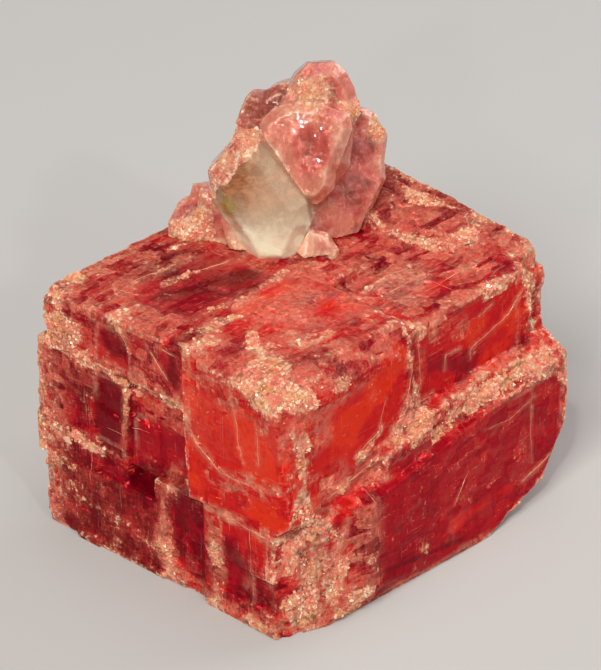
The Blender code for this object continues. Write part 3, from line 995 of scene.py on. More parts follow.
@dataclass(frozen=True)
class Effects:
    """The shader groups that the materials share, each built once."""

    skew: Tree
    lines: Tree
    crust: Tree
    facets: Tree

    @classmethod
    def build(cls) -> Effects:
        """Builds the four groups."""
        return cls(cls.skew_group(), cls.lines_group(), cls.crust_group(), cls.facets_group())

    @staticmethod
    def skew_group() -> Tree:
        """Turns an Object place in metres into a skew place in mm: one dot product for each axis.

        Returns:
            The group.
        """
        graph, _, end = new_group("Skew place", {}, {"Place": VECTOR, "Millimetres": VECTOR})
        here = graph.node("TexCoord").outputs["Object"]
        rows = np.linalg.inv(FRAME.axes()) / MM
        parts = [
            graph.add(graph.vector("DOT_PRODUCT", here, tuple(row)).outputs["Value"], float(shift))
            for row, shift in zip(rows, FRAME.offset())
        ]
        skewed = graph.node("CombineXYZ", None, dict(enumerate(parts))).outputs[0]
        graph.fill(end, {"Place": skewed, "Millimetres": graph.stretched(here, (1 / MM,) * 3)})
        return graph.tree

    @staticmethod
    def lines_group() -> Tree:
        """Thin straight cleavage lines across each axis, unevenly spaced and broken up by noise.

        Returns:
            The group.
        """
        inputs = {"Place": (0, 0, 0), "Spacing": 1.2, "Width": 0.05, "Breaks": 0.5}
        graph, start, end = new_group("Cleavage lines", inputs, {"Mask": FLOAT})
        place, spacing = start.outputs["Place"], start.outputs["Spacing"]
        bend = graph.centred(graph.noise(place, 0.35), 0.5)
        mask = 0.0
        for axis in range(3):
            along = graph.math("DIVIDE", graph.add(graph.axis(place, axis), bend), spacing)
            where = {"W": graph.add(along, 17.3 * (axis + 1)), "Scale": 1.0}
            settings = {"voronoi_dimensions": "1D", "feature": "DISTANCE_TO_EDGE"}
            edge = graph.node("TexVoronoi", settings, where).outputs["Distance"]
            near = graph.math("DIVIDE", graph.times(edge, spacing), start.outputs["Width"])
            thin = graph.math("SUBTRACT", 1.0, near, clamp=True)
            scale = tuple(0.9 if other == axis else 0.33 for other in range(3))
            moved = graph.vector("ADD", place, (31.0 * axis, 7.0 * axis, 0)).outputs[0]
            gate = graph.noise(graph.stretched(moved, scale), 1.0, 3.0, 0.6)
            mask = graph.most(mask, graph.times(thin, graph.step(gate, start.outputs["Breaks"], 0.72)))
        graph.fill(end, {"Mask": mask})
        return graph.tree

    @staticmethod
    def crust_group() -> Tree:
        """Where crust covers a face: a painted amount raised and lowered by noise, cut to a patchy mask.

        Returns:
            The group.
        """
        outputs = {"Mask": FLOAT, "Thin": FLOAT, "Shade": FLOAT}
        graph, start, end = new_group("Crust", {"Place": (0, 0, 0), "Amount": 0.5, "Ridge": 0.0}, outputs)
        place = start.outputs["Place"]
        broad = graph.noise(place, 0.45, 4.0, 0.62)
        fine = graph.noise(place, 2.6, 4.0, 0.7)
        level = graph.noise(graph.stretched(place, (0.5, 0.4, 1.9)), 1.5, 5.0, 0.7)
        plumb = graph.noise(graph.stretched(place, (1.9, 1.9, 0.45)), 1.5, 5.0, 0.7)
        streaks = graph.times(graph.add(level, plumb), 0.5)
        total = graph.add(start.outputs["Amount"], graph.times(start.outputs["Ridge"], 0.42))
        for noise, gain in ((broad, 1.6), (fine, 1.3), (streaks, 2.2)):
            total = graph.add(total, graph.centred(noise, gain))
        masks = {"Mask": graph.step(total, 0.42, 0.8), "Thin": graph.step(total, 0.0, 0.6)}
        graph.fill(end, masks | {"Shade": fine})
        return graph.tree

    @staticmethod
    def facets_group() -> Tree:
        """Small flat facets: each cell tips the normal its own way.

        A given Normal of no length stands for the surface's own.

        Returns:
            The group.
        """
        inputs = {"Place": (0, 0, 0), "Scale": 3.0, "Tilt": 0.6, "Amount": 1.0, "Normal": (0, 0, 0)}
        graph, start, end = new_group("Facets", inputs, {"Normal": VECTOR})
        colour = graph.cells(start.outputs["Place"], start.outputs["Scale"])
        tipped = graph.vector("SUBTRACT", colour, (0.5, 0.5, 0.5)).outputs[0]
        strength = graph.times(start.outputs["Tilt"], start.outputs["Amount"])
        tilt = graph.node("VectorMath", {"operation": "SCALE"}, {0: tipped, "Scale": strength}).outputs[0]
        own = graph.node("NewGeometry").outputs["Normal"]
        given = graph.vector("LENGTH", start.outputs["Normal"]).outputs["Value"]
        normal = graph.mix(graph.math("GREATER_THAN", given, 0.5), own, start.outputs["Normal"])
        added = graph.vector("ADD", normal, tilt).outputs[0]
        graph.fill(end, {"Normal": graph.vector("NORMALIZE", added).outputs[0]})
        return graph.tree


# --------------------------------------------------------------------------------------------------
# Finishes
# --------------------------------------------------------------------------------------------------


class Palette(Enum):
    """The specimen's colours, in linear light."""

    DEEP = (0.20, 0.0015, 0.008)
    WINE = (0.38, 0.003, 0.013)
    RED = (0.62, 0.008, 0.012)
    SCARLET = (0.80, 0.032, 0.010)
    ROSE = (0.76, 0.200, 0.135)
    CRUST = (0.82, 0.390, 0.220)
    CREAM = (1.00, 0.820, 0.560)
    OCHRE = (0.70, 0.360, 0.110)
    BARK = (0.40, 0.060, 0.034)
    UMBER = (0.30, 0.055, 0.033)
    CORAL = (0.58, 0.095, 0.075)
    PINK = (0.68, 0.215, 0.145)
    PEACH = (0.85, 0.460, 0.310)
    AMBER = (0.66, 0.31, 0.14)
    HONEY = (0.98, 0.78, 0.54)
    IVORY = (1.0, 0.96, 0.78)
    OLIVE = (0.66, 0.56, 0.16)
    RUST = (0.40, 0.11, 0.04)
    CLAY = (0.60, 0.25, 0.10)
    SAND = (0.78, 0.46, 0.27)
    MILK = (1.0, 0.95, 0.68)
    MOSS = (0.44, 0.30, 0.06)


def new_material(name: str) -> tuple[bpy.types.Material, Graph, Node]:
    """A material with an empty Principled shader.

    Args:
        name: the material's name.

    Returns:
        The material, a graph on its tree, and the shader.
    """
    material = bpy.data.materials.new(name)
    material.use_nodes = True
    return material, Graph(material.node_tree), material.node_tree.nodes["Principled BSDF"]


@dataclass(frozen=True)
class Finish:
    """What the finishes of crystal share: crust laid by its group, and normals broken up by facets."""

    effects: Effects

    def crust(self, graph: Graph, place: Socket) -> Node:
        """The crust group, fed with what is painted on the piece.

        Args:
            graph: the material's graph.
            place: where its noise is read.

        Returns:
            The group's node.
        """
        painted = {"Amount": graph.painted("crust"), "Ridge": graph.painted("ridge")}
        return graph.group(self.effects.crust, {"Place": place} | painted)

    def normal(self, graph: Graph, facets: tuple[dict, ...], bump: dict) -> Socket:
        """A normal tipped by facets, each size over the one before, and by a bump over them all.

        Args:
            graph: the material's graph.
            facets: what goes in the facets group for each size.
            bump: what goes in the bump.

        Returns:
            The normal.
        """
        given = {}
        for values in facets:
            given = {"Normal": graph.group(self.effects.facets, values | given).outputs["Normal"]}
        return graph.node("Bump", None, bump | given).outputs["Normal"]


@dataclass(frozen=True)
class RedFinish(Finish):
    """Deep red rhodochrosite: clear windows, pale cleavage lines, pink veils and a patchy crust."""

    name: str = "red rhodochrosite"
    top_height: tuple[float, float] = (20.3, 20.9)
    metal: float = 0.38
    veil_share: float = 0.68
    fleck_share: float = 0.72
    line_share: float = 0.6
    crust_share: float = 0.86

    def plates(self, graph: Graph, place: Socket) -> Socket:
        """A value for each cleavage plate: square cells drawn long, their borders slightly bent.

        Args:
            graph: the material's graph.
            place: the skew place.

        Returns:
            A value from 0 to 1, even over each plate.
        """
        inputs = {"Vector": place, "Scale": 0.5, "Detail": 2.0}
        bend = graph.stretched(graph.node("TexNoise", None, inputs).outputs["Color"], (0.7, 0.7, 0.7))
        bent = graph.vector("ADD", place, bend).outputs[0]
        return graph.axis(graph.cells(graph.stretched(bent, (0.95, 0.55, 1.1)), 1.0), 0)

    def body(self, graph: Graph, place: Socket, plate: Socket, on_top: Socket) -> Socket:
        """The red itself, from deep crimson to orange-red, with brighter sheets that follow the cleavage.

        Args:
            graph: the material's graph.
            place: the skew place.
            plate: the value of each cleavage plate.
            on_top: 1 on the top and 0 on the side faces.

        Returns:
            The colour.
        """
        cloudy = graph.noise(place, 0.28, 5.0, 0.65)
        sheets = graph.noise(graph.stretched(place, (0.35, 0.9, 1.5)), 0.9, 6.0, 0.7)
        upright = graph.noise(graph.stretched(place, (1.7, 1.7, 0.16)), 0.9, 6.0, 0.75)
        change = graph.add(graph.centred(cloudy, 1.0), graph.centred(sheets, 0.7))
        side = graph.graded(on_top, -0.8, 1.0)
        change = graph.add(change, graph.times(graph.centred(upright, 1.1), side))
        change = graph.add(change, graph.centred(plate, 0.6))
        calm = graph.graded(graph.painted("clear"), -0.64, 1.0)
        tone = graph.graded(change, calm, graph.painted("tone"))
        colour = graph.mix(graph.step(tone, -0.05, 0.3), Palette.DEEP, Palette.WINE)
        colour = graph.mix(graph.step(tone, 0.22, 0.62), colour, Palette.RED)
        return graph.mix(graph.step(tone, 0.6, 1.15), colour, Palette.SCARLET)

    def shell(self, graph: Graph, place: Socket, shade: Socket) -> Socket:
        """The crust's colour: peach and tan, cream on its high grains as pale crust and a painted highlight,
        with ochre stains.

        Args:
            graph: the material's graph.
            place: the skew place.
            shade: fine noise that tells high grains from low ones.

        Returns:
            The colour.
        """
        stain = graph.step(graph.noise(place, 0.6, 3.0), 0.5, 0.7)
        blush = graph.noise(graph.stretched(place, (0.8, 0.8, 1.6)), 0.9, 4.0, 0.65)
        colour = graph.mix(graph.step(blush, 0.36, 0.62), Palette.CRUST, Palette.ROSE)
        colour = graph.mix(graph.times(stain, 0.6), colour, Palette.OCHRE)
        # Painted highlight in part: cream where the fine noise is high, the same noise that raises the crust
        # in the bump.
        return graph.mix(graph.step(shade, 0.47, 0.7), colour, Palette.CREAM)

    def veil(self, graph: Graph, place: Socket, plate: Socket) -> Socket:
        """How veiled each place is: drawn-out noise, stronger on some plates, where haze is painted.

        Args:
            graph: the material's graph.
            place: the skew place.
            plate: the value of each cleavage plate.

        Returns:
            From 0 to 1.
        """
        veins = graph.noise(graph.stretched(place, (1.5, 0.3, 1.5)), 1.0, 6.0, 0.7)
        veins = graph.add(veins, graph.centred(plate, 0.34))
        return graph.times(graph.step(veins, 0.4, 0.6), graph.painted("haze"))

    def flecks(self, graph: Graph, place: Socket, plate: Socket, on_top: Socket) -> Socket:
        """Crisp pale flecks: level and upright ones, more where it is hazy, and combed ones on the top.

        Args:
            graph: the material's graph.
            place: the skew place.
            plate: the value of each cleavage plate.
            on_top: 1 on the top and 0 on the side faces.

        Returns:
            From 0 to 1.
        """
        level = graph.noise(graph.stretched(place, (0.9, 0.9, 2.6)), 1.5, 6.0, 0.72)
        plumb = graph.noise(graph.stretched(place, (2.6, 2.0, 0.8)), 1.5, 6.0, 0.72)
        edge = graph.graded(plate, -0.16, graph.graded(graph.painted("haze"), -0.12, 0.74))
        combed = graph.noise(graph.stretched(place, (2.8, 0.17, 1.0)), 1.1, 6.0, 0.72)
        combed = graph.times(graph.above(combed, 0.6, 12.0), on_top)
        combed = graph.times(combed, graph.graded(graph.painted("clear"), -0.8, 1.0))
        return graph.most(graph.above(graph.most(level, plumb), edge, 14.0), combed)

    def material(self) -> bpy.types.Material:
        """Builds the material: the body, then veils, flecks, lines and crust over it.

        Returns:
            The material.
        """
        material, graph, shader = new_material(self.name)
        place = graph.group(self.effects.skew).outputs["Place"]
        clear, haze = graph.painted("clear"), graph.painted("haze")
        on_top = graph.step(graph.axis(place, 2), *self.top_height)
        fine = graph.noise(place, 2.2, 4.0, 0.65)
        plate = self.plates(graph, place)
        veil = self.veil(graph, place, plate)
        flecks = self.flecks(graph, place, plate, on_top)
        lit = graph.most(graph.step(graph.painted("tone"), -0.1, 0.45), graph.times(on_top, 0.6))
        rose = graph.mix(lit, Palette.BARK, Palette.ROSE)
        tan = graph.mix(graph.step(fine, 0.4, 0.6), Palette.ROSE, Palette.CRUST)
        tan = graph.mix(lit, Palette.CORAL, tan)

        bold = {"Place": place, "Spacing": 2.3, "Width": 0.07, "Breaks": 0.55}
        hair = {"Place": place, "Spacing": 0.6, "Width": 0.05, "Breaks": 0.56}
        bold, hair = (graph.group(self.effects.lines, kind).outputs["Mask"] for kind in (bold, hair))
        drawn = graph.times(graph.painted("line"), graph.step(fine, 0.3, 0.55))
        lined = graph.times(graph.most(bold, graph.times(hair, 0.5)), graph.graded(clear, -0.6, 1.0))
        lined = graph.most(lined, drawn)

        crust = self.crust(graph, place)
        mask, thin, shade = crust.outputs["Mask"], crust.outputs["Thin"], crust.outputs["Shade"]
        colour = self.body(graph, place, plate, on_top)
        for share, layer in (
            (graph.times(veil, self.veil_share), rose),
            (graph.times(flecks, self.fleck_share), tan),
            (graph.times(lined, self.line_share), Palette.PEACH),
            (graph.times(thin, 0.45), rose),
            (graph.times(mask, self.crust_share), self.shell(graph, place, shade)),
        ):
            colour = graph.mix(share, colour, layer)

        broken = graph.most(graph.most(mask, graph.times(drawn, 0.7)), graph.times(flecks, 0.8))
        amount = graph.graded(haze, 0.4, graph.graded(broken, 1.1, 0.45))
        inner = graph.stretched(place, (0.8, 0.55, 1.0))
        large = {"Place": inner, "Scale": 1.0, "Tilt": 0.55, "Amount": amount}
        small = {"Place": place, "Scale": 3.1, "Tilt": 0.7, "Amount": amount}
        height = graph.graded(lined, -0.4, graph.times(veil, 0.5))
        bump = {"Strength": 0.7, "Distance": 0.0002, "Height": graph.add(height, graph.times(shade, thin))}
        sockets = {
            "Base Color": colour,
            "Roughness": graph.math("SUBTRACT", graph.graded(haze, 0.1, 0.2), graph.times(mask, 0.06)),
            "Normal": self.normal(graph, (large, small), bump),
            "Coat Weight": graph.graded(clear, 0.08, 0.02),
            "Metallic": graph.times(graph.rest(thin), self.metal),
            "Coat Roughness": 0.06,
            "IOR": 1.27,
            "Specular Tint": (1.0, 0.55, 0.45),
            "Subsurface Weight": 0.12,
            "Subsurface Radius": (1.0, 0.16, 0.12),
            "Subsurface Scale": 1.0 * MM,
        }
        graph.fill(shader, sockets)
        return material


@dataclass(frozen=True)
class PinkFinish(Finish):
    """Paler, clearer rhodochrosite: glassy pink with light rims, deeper red hearts and a little crust."""

    name: str = "pink rhodochrosite"
    wisp_share: float = 0.55
    crust_share: float = 0.85

    def material(self) -> bpy.types.Material:
        """Builds the material: a pink of four depths, then pale wisps and crust over it.

        Returns:
            The material.
        """
        material, graph, shader = new_material(self.name)
        place = graph.group(self.effects.skew).outputs["Millimetres"]
        crust = self.crust(graph, place)
        mask, thin, shade = crust.outputs["Mask"], crust.outputs["Thin"], crust.outputs["Shade"]
        cloudy = graph.noise(place, 0.4, 5.0, 0.65)
        drift = graph.noise(graph.stretched(place, (1.4, 1.0, 0.35)), 0.9, 4.0, 0.65)
        tone = graph.add(graph.painted("tone"), graph.centred(cloudy, 0.8))
        tone = graph.add(tone, graph.centred(drift, 0.9))
        stain = graph.step(graph.noise(place, 0.5, 3.0), 0.45, 0.62)
        shell = graph.mix(graph.times(stain, 0.6), Palette.CRUST, Palette.OCHRE)
        shell = graph.mix(graph.step(shade, 0.46, 0.7), shell, Palette.CREAM)
        wisps = graph.noise(graph.stretched(place, (2.4, 1.0, 0.7)), 1.3, 6.0, 0.72)
        colour = Palette.UMBER
        for share, layer in (
            (graph.step(tone, -0.15, 0.25), Palette.CORAL),
            (graph.step(tone, 0.15, 0.55), Palette.PINK),
            (graph.step(tone, 0.6, 1.05), Palette.PEACH),
            (graph.times(thin, 0.4), Palette.PEACH),
            (graph.times(graph.above(wisps, 0.57, 9.0), self.wisp_share), Palette.PEACH),
            (graph.times(mask, self.crust_share), shell),
        ):
            colour = graph.mix(share, colour, layer)
        large = {"Place": place, "Scale": 0.75, "Tilt": 0.5, "Amount": 1.0}
        small = {"Place": place, "Scale": 2.2, "Tilt": 0.5, "Amount": graph.graded(mask, 1.0, 0.7)}
        bump = {"Strength": 0.6, "Distance": 0.0003, "Height": graph.noise(place, 1.6, 4.0, 0.6)}
        sockets = {
            "Base Color": colour,
            "Roughness": graph.graded(mask, 0.1, 0.1),
            "Normal": self.normal(graph, (large, small), bump),
            "Metallic": 0.1,
            "Coat Weight": 0.7,
            "Coat Roughness": 0.03,
            "IOR": 1.5,
            "Specular Tint": (1.0, 0.75, 0.68),
            "Subsurface Weight": 0.2,
            "Subsurface Radius": (1.0, 0.6, 0.5),
            "Subsurface Scale": 1.2 * MM,
        }
        graph.fill(shader, sockets)
        return material


@dataclass(frozen=True)
class QuartzFinish(Finish):
    """See-through quartz: amber at the left, honey at the right, ivory at its foot, with an olive stain. The
    ivory foot is milky quartz and painted light: the pale crust below, seen through the glass.
    """

    name: str = "quartz"
    ior: float = 1.544
    stain_middle: tuple[float, float, float] = (-6.2, 10.6, 25.2)

    def material(self) -> bpy.types.Material:
        """Builds the material: three tints laid by place, and the stain.

        Returns:
            The material.
        """
        material, graph, shader = new_material(self.name)
        place = graph.group(self.effects.skew).outputs["Millimetres"]
        cloud = graph.noise(place, 0.5, 4.0, 0.6)
        low = graph.rest(graph.step(graph.axis(place, 2), 22.0, 25.5))
        right = graph.step(graph.graded(cloud, 3.0, graph.axis(place, 0)), -3.6, -0.8)
        away = graph.vector("DISTANCE", place, self.stain_middle).outputs["Value"]
        stain = graph.rest(graph.step(graph.graded(cloud, 1.6, away), 1.4, 2.4))
        colour = graph.mix(right, Palette.AMBER, Palette.HONEY)
        # Painted light in part: ivory low on the crystal stands for the pale crust below seen through the
        # glass, as well as its milkiness.
        colour = graph.mix(graph.times(low, 0.8), colour, Palette.IVORY)
        facets = {"Place": place, "Scale": 0.6, "Tilt": 0.1, "Amount": 1.0}
        bump = {"Strength": 0.45, "Distance": 0.00015, "Height": graph.noise(place, 1.3, 5.0, 0.65)}
        sockets = {
            "Base Color": graph.mix(stain, colour, Palette.OLIVE),
            "Roughness": graph.graded(graph.step(cloud, 0.4, 0.7), 0.1, 0.03),
            "Normal": self.normal(graph, (facets,), bump),
            "Transmission Weight": 0.66,
            "IOR": self.ior,
        }
        graph.fill(shader, sockets)
        return material


@dataclass(frozen=True)
class MilkFinish(QuartzFinish):
    """The quartz's film: warm milk, thick at the foot and streaked at the left, and crust at its root. The
    milk at the foot is milky quartz and painted light: the pale crust below, seen through the glass.
    """

    name: str = "quartz milk"
    stain_middle: tuple[float, float, float] = (-6.4, 10.2, 25.2)

    def material(self) -> bpy.types.Material:
        """Builds the material: the film's colour and cover, with the stain and the crust over both.

        Returns:
            The material.
        """
        material, graph, shader = new_material(self.name)
        place = graph.group(self.effects.skew).outputs["Millimetres"]
        cloud = graph.noise(place, 0.55, 6.0, 0.7)
        fine = graph.noise(place, 2.0, 4.0, 0.65)
        streak = graph.noise(graph.stretched(place, (1.0, 0.8, 2.2)), 1.0, 5.0, 0.7)
        uneven = graph.centred(cloud, 5.0)
        low = graph.rest(graph.step(graph.add(graph.axis(place, 2), uneven), 22.0, 27.0))
        right = graph.step(graph.add(graph.axis(place, 0), uneven), -5.0, -2.2)
        away = graph.vector("DISTANCE", place, self.stain_middle).outputs["Value"]
        stain = graph.rest(graph.step(graph.add(uneven, away), 0.1, 1.3))
        rind = graph.step(graph.graded(uneven, 0.22, graph.painted("crust")), 0.4, 0.6)
        bark = graph.mix(graph.step(cloud, 0.4, 0.6), Palette.CORAL, Palette.CRUST)
        bark = graph.mix(graph.step(fine, 0.5, 0.68), bark, Palette.CREAM)
        colour = graph.mix(graph.step(streak, 0.42, 0.6), Palette.RUST, Palette.CLAY)
        # Painted light in part: the milk low on the film is milky quartz and the pale crust below, seen
        # through it.
        layers = ((right, Palette.SAND), (low, Palette.MILK), (stain, Palette.MOSS), (rind, bark))
        for share, layer in layers:
            colour = graph.mix(share, colour, layer)
        cover = graph.graded(graph.step(cloud, 0.42, 0.66), 0.3, 0.45)
        cover = graph.graded(right, -0.05, cover)
        for share, most in ((low, 0.9), (stain, 0.7), (rind, 0.93)):
            cover = graph.most(cover, graph.times(share, most))
        facets = {"Place": place, "Scale": 0.9, "Tilt": 0.3, "Amount": 1.0}
        bump = {"Strength": 0.5, "Distance": 0.0002, "Height": cloud}
        sockets = {
            "Base Color": colour,
            "Alpha": cover,
            "Normal": self.normal(graph, (facets,), bump),
            "Roughness": 0.12,
            "Coat Weight": 0.6,
            "Coat Roughness": 0.03,
            "IOR": self.ior,
        }
        graph.fill(shader, sockets)
        return material


@dataclass(frozen=True)
class GrainFinish(Finish):
    """The crust's grains: cream to tan sugar with glassy faces."""

    name: str = "crust grains"

    def material(self) -> bpy.types.Material:
        """Builds the material: each grain's painted value decides how rosy and how cream it is.

        Returns:
            The material.
        """
        material, graph, shader = new_material(self.name)
        place = graph.group(self.effects.skew).outputs["Place"]
        own = graph.painted("grain")
        stain = graph.step(graph.noise(place, 0.6, 3.0), 0.5, 0.7)
        blush = graph.noise(graph.stretched(place, (0.8, 0.8, 1.6)), 0.9, 4.0, 0.65)
        blush = graph.graded(own, -0.16, graph.add(blush, 0.08))
        colour = graph.mix(graph.step(blush, 0.36, 0.62), Palette.CRUST, Palette.ROSE)
        colour = graph.mix(graph.times(stain, 0.5), colour, Palette.OCHRE)
        colour = graph.mix(graph.step(own, 0.66, 1.08), colour, Palette.CREAM)
        glassy = {"Roughness": 0.12, "IOR": 1.55, "Specular Tint": (1.0, 0.85, 0.72)}
        graph.fill(shader, {"Base Color": colour} | glassy)
        return material


# --------------------------------------------------------------------------------------------------
# The specimen
# --------------------------------------------------------------------------------------------------


@dataclass
class RhombBody:
    """The big stepped rhomb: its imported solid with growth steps, striae, sunk windows and a bumpy crust."""

    node: bpy.types.Object
    zones: RhombZones
    grain: float = 0.235
    large_block: tuple[float, float, float] = (4.6, 5.2, 3.6)
    small_block: tuple[float, float, float] = (0.9, 1.1, 0.7)
    step_height: float = 0.07
    stria_height: float = 0.03
    crust_height: float = 0.22
    line_height: float = 0.06
    window_depth: float = 0.1
    flat_base: tuple[float, float] = (0.1, 0.5)
    sharp_angle: float = 38.0
    seed: int = 5

    def relief(self, skew: Array, crust: Array, clear: Array, line: Array) -> Array:
        """How far each point moves out along its normal, in mm.

        Block cells step in and out, striations are fine noise drawn long along one edge at a time, the
        crust adds two sizes of lumps and small blocks, and windows keep flat and lie a little deeper.

        Args:
            skew: places as rows of (a, b, c).
            crust: how crusted each point is.
            clear: how clear each point is.
            line: how far each point is on a pale line.

        Returns:
            One distance for each point.
        """
        rough = 1 - 0.95 * clear
        large = block_noise(skew, self.large_block, self.seed) - 0.5
        small = block_noise(skew, self.small_block, self.seed + 20) - 0.5
        steps = large * self.step_height * 1.6 + small * self.step_height * (0.3 + 2.6 * crust)
        striae = smooth_noise(skew, (5.0, 5.0, 0.4), self.seed + 30)
        striae += smooth_noise(skew, (0.5, 0.5, 6.0), self.seed + 31)
        lumps = np.abs(smooth_noise(skew, 1.1, self.seed + 40))
        lumps += 0.7 * np.abs(smooth_noise(skew, 0.55, self.seed + 41))
        moved = rough * (steps + striae * self.stria_height) + crust * (lumps - 0.35) * self.crust_height
        return moved - clear * self.window_depth + line * self.line_height

    def build(self) -> Skin:
        """The painted skin: fields first, then the relief, with the base kept flat.

        Returns:
            The skin, with crust, tone, haze, line, ridge and clear painted on it.
        """
        zones = self.zones
        skin = fine_skin(self.node, self.grain, skewed=True)
        skew = FRAME.to_skew(skin.points)
        ridge = skin.ridges(14, 0.32)
        wobble = 0.55 * layered_noise(skew, 1.6, self.seed + 60)
        wobble += 0.45 * smooth_noise(skew, 3.4, self.seed + 64)
        shifts = [layered_noise(skew, 2.0, self.seed + 70 + axis) for axis in range(3)]
        clear = zones.amounts(zones.clear, skew + 0.35 * np.stack(shifts, axis=1))
        strokes = zones.strokes(skew, wobble)
        gaps = ramp(layered_noise(skew, 2.4, self.seed + 66), -0.22, 0.08)
        strokes[Kind.CRUST] *= 1 - np.where(skew[:, 1] < 1.5, 0.75, 0.35) * (1 - gaps)
        broad = layered_noise(skew, 6.0, self.seed + 50)
        crust = 0.1 + 0.72 * strokes[Kind.CRUST] + 0.65 * zones.amounts(zones.crusted, skew)
        crust += 0.5 * strokes[Kind.LINE] * ramp(broad, -0.3, 0.2)
        crust = np.clip(crust + 0.2 * np.clip(ridge, 0, 1) + 0.22 * broad, -0.3, 1.1)
        crust -= 0.6 * clear * (1 - strokes[Kind.CRUST])
        # The tone is the red's own depth plus painted glow from the bright regions and the glow strokes.
        tone = 0.5 + 0.5 * zones.amounts(zones.bright, skew) + 0.4 * strokes[Kind.GLOW]
        tone -= 0.48 * zones.amounts(zones.dark, skew) + 0.4 * strokes[Kind.DARK] + 0.3 * strokes[Kind.SEAM]
        # Painted shade: the red is darker in the hollows, where the ridge value is below zero.
        tone -= 0.4 * np.clip(-ridge, 0, 1)
        haze = np.maximum(zones.amounts(zones.hazy, skew) * (1 - 0.7 * clear), strokes[Kind.VEIL])
        rim = 4 * clear * (1 - clear) * ramp(broad, -0.2, 0.3)
        line = np.maximum(0.5 * strokes[Kind.LINE], 0.7 * rim)
        soft = skin.relaxed(skin.normals(), 3)
        soft /= np.maximum(np.linalg.norm(soft, axis=1), 1e-9)[:, None]
        above = ramp(skin.points[:, 2] / MM, *self.flat_base)
        moved = self.relief(skew, np.clip(crust, 0, 1), clear, line) * above * MM
        low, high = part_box(self.node.name)
        skin.points = kept_inside(skin.points + soft * moved[:, None], low, high)
        skin.paint = dict(crust=crust, tone=tone, haze=haze, line=line, ridge=ridge, clear=clear)
        return skin


@dataclass(frozen=True)
class Spot:
    """A soft ball in which the summit is darker, brighter or crusted. Its middle and reach are in mm."""

    kind: Kind
    middle: tuple[float, float, float]
    reach: float

    def amount(self, place: Array, wobble: Array) -> Array:
        """How far each point belongs to the spot.

        Args:
            place: places in mm.
            wobble: what is added to each distance.

        Returns:
            From 0 to 1 for each point.
        """
        away = np.linalg.norm(place - np.array(self.middle), axis=1) + wobble
        return 1 - ramp(away, self.reach * 0.5, self.reach * 1.2)


@dataclass
class SummitCrystals:
    """The pink crystals on top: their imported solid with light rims, dark hearts and a little relief."""

    node: bpy.types.Object
    neighbour: Array
    grain: float = 0.16
    sharp_angle: float = 34.0
    seed: int = 61
    spots: tuple[Spot, ...] = (
        Spot(Kind.DARK, (1.7, 12.9, 29.1), 2.2),
        Spot(Kind.DARK, (5.1, 13.9, 24.0), 2.3),
        Spot(Kind.DARK, (5.9, 15.7, 27.1), 1.7),
        Spot(Kind.DARK, (2.9, 15.4, 32.8), 2.1),
        Spot(Kind.DARK, (-2.0, 19.4, 30.2), 2.2),
        Spot(Kind.DARK, (-3.0, 18.5, 27.7), 2.0),
        Spot(Kind.GLOW, (-1.8, 12.8, 28.2), 1.6),
        Spot(Kind.GLOW, (4.3, 13.0, 30.0), 1.5),
        Spot(Kind.GLOW, (2.8, 11.7, 27.2), 1.1),
        Spot(Kind.GLOW, (-4.2, 8.9, 22.0), 2.0),
        Spot(Kind.GLOW, (1.75, 7.6, 21.4), 2.4),
        Spot(Kind.CRUST, (1.6, 16.6, 32.0), 2.3),
        Spot(Kind.CRUST, (4.3, 16.3, 31.0), 1.8),
        Spot(Kind.CRUST, (-5.3, 17.3, 24.7), 2.6),
        Spot(Kind.CRUST, (7.6, 16.6, 28.6), 1.3),
        Spot(Kind.CRUST, (-0.2, 15.6, 31.0), 1.5),
        Spot(Kind.CRUST, (-9.0, 11.8, 22.0), 2.6),
        Spot(Kind.DARK, (-9.2, 12.4, 22.8), 3.2),
        Spot(Kind.DARK, (-3.6, 19.0, 29.0), 3.2),
    )

    def build(self) -> Skin:
        """The painted skin.

        Returns:
            The skin, with crust, tone and ridge painted on it.
        """
        skin = fine_skin(self.node, self.grain, skewed=False)
        place = skin.points / MM
        ridge = skin.ridges(16, 0.3)
        wobble = 0.7 * layered_noise(place, 1.8, self.seed + 3)
        amount = {kind: np.zeros(len(place)) for kind in Kind}
        for spot in self.spots:
            amount[spot.kind] = np.maximum(amount[spot.kind], spot.amount(place, wobble))
        back = ramp(place[:, 1], 15.5, 18.5)
        rim = np.clip(ridge, 0, 1)
        foot = 1 - ramp(place[:, 2], 21.0, 22.5)
        crust = -0.1 + 0.25 * rim + 0.25 * back + 0.3 * foot
        crust = np.clip(crust + 0.75 * amount[Kind.CRUST], -0.3, 1)
        # Glow spots add painted glow, light seen through the pink crystal.
        tone = 0.45 + 0.3 * amount[Kind.GLOW] - 0.4 * amount[Kind.DARK] - 0.3 * back + 0.8 * rim
        normals = skin.normals()
        lumps = layered_noise(place, 0.7, self.seed + 9) * np.clip(crust, 0, 1)
        ripple = 0.07 * layered_noise(place, 1.6, self.seed) + 0.14 * lumps
        low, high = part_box(self.node.name)
        skin.points = seated(kept_inside(skin.points + normals * (ripple * MM)[:, None], low, high))
        skin.points += skin.relaxed(drawn_to(skin.points, self.neighbour) - skin.points, 3)
        skin.paint = {"crust": crust, "tone": tone, "ridge": ridge}
        return skin


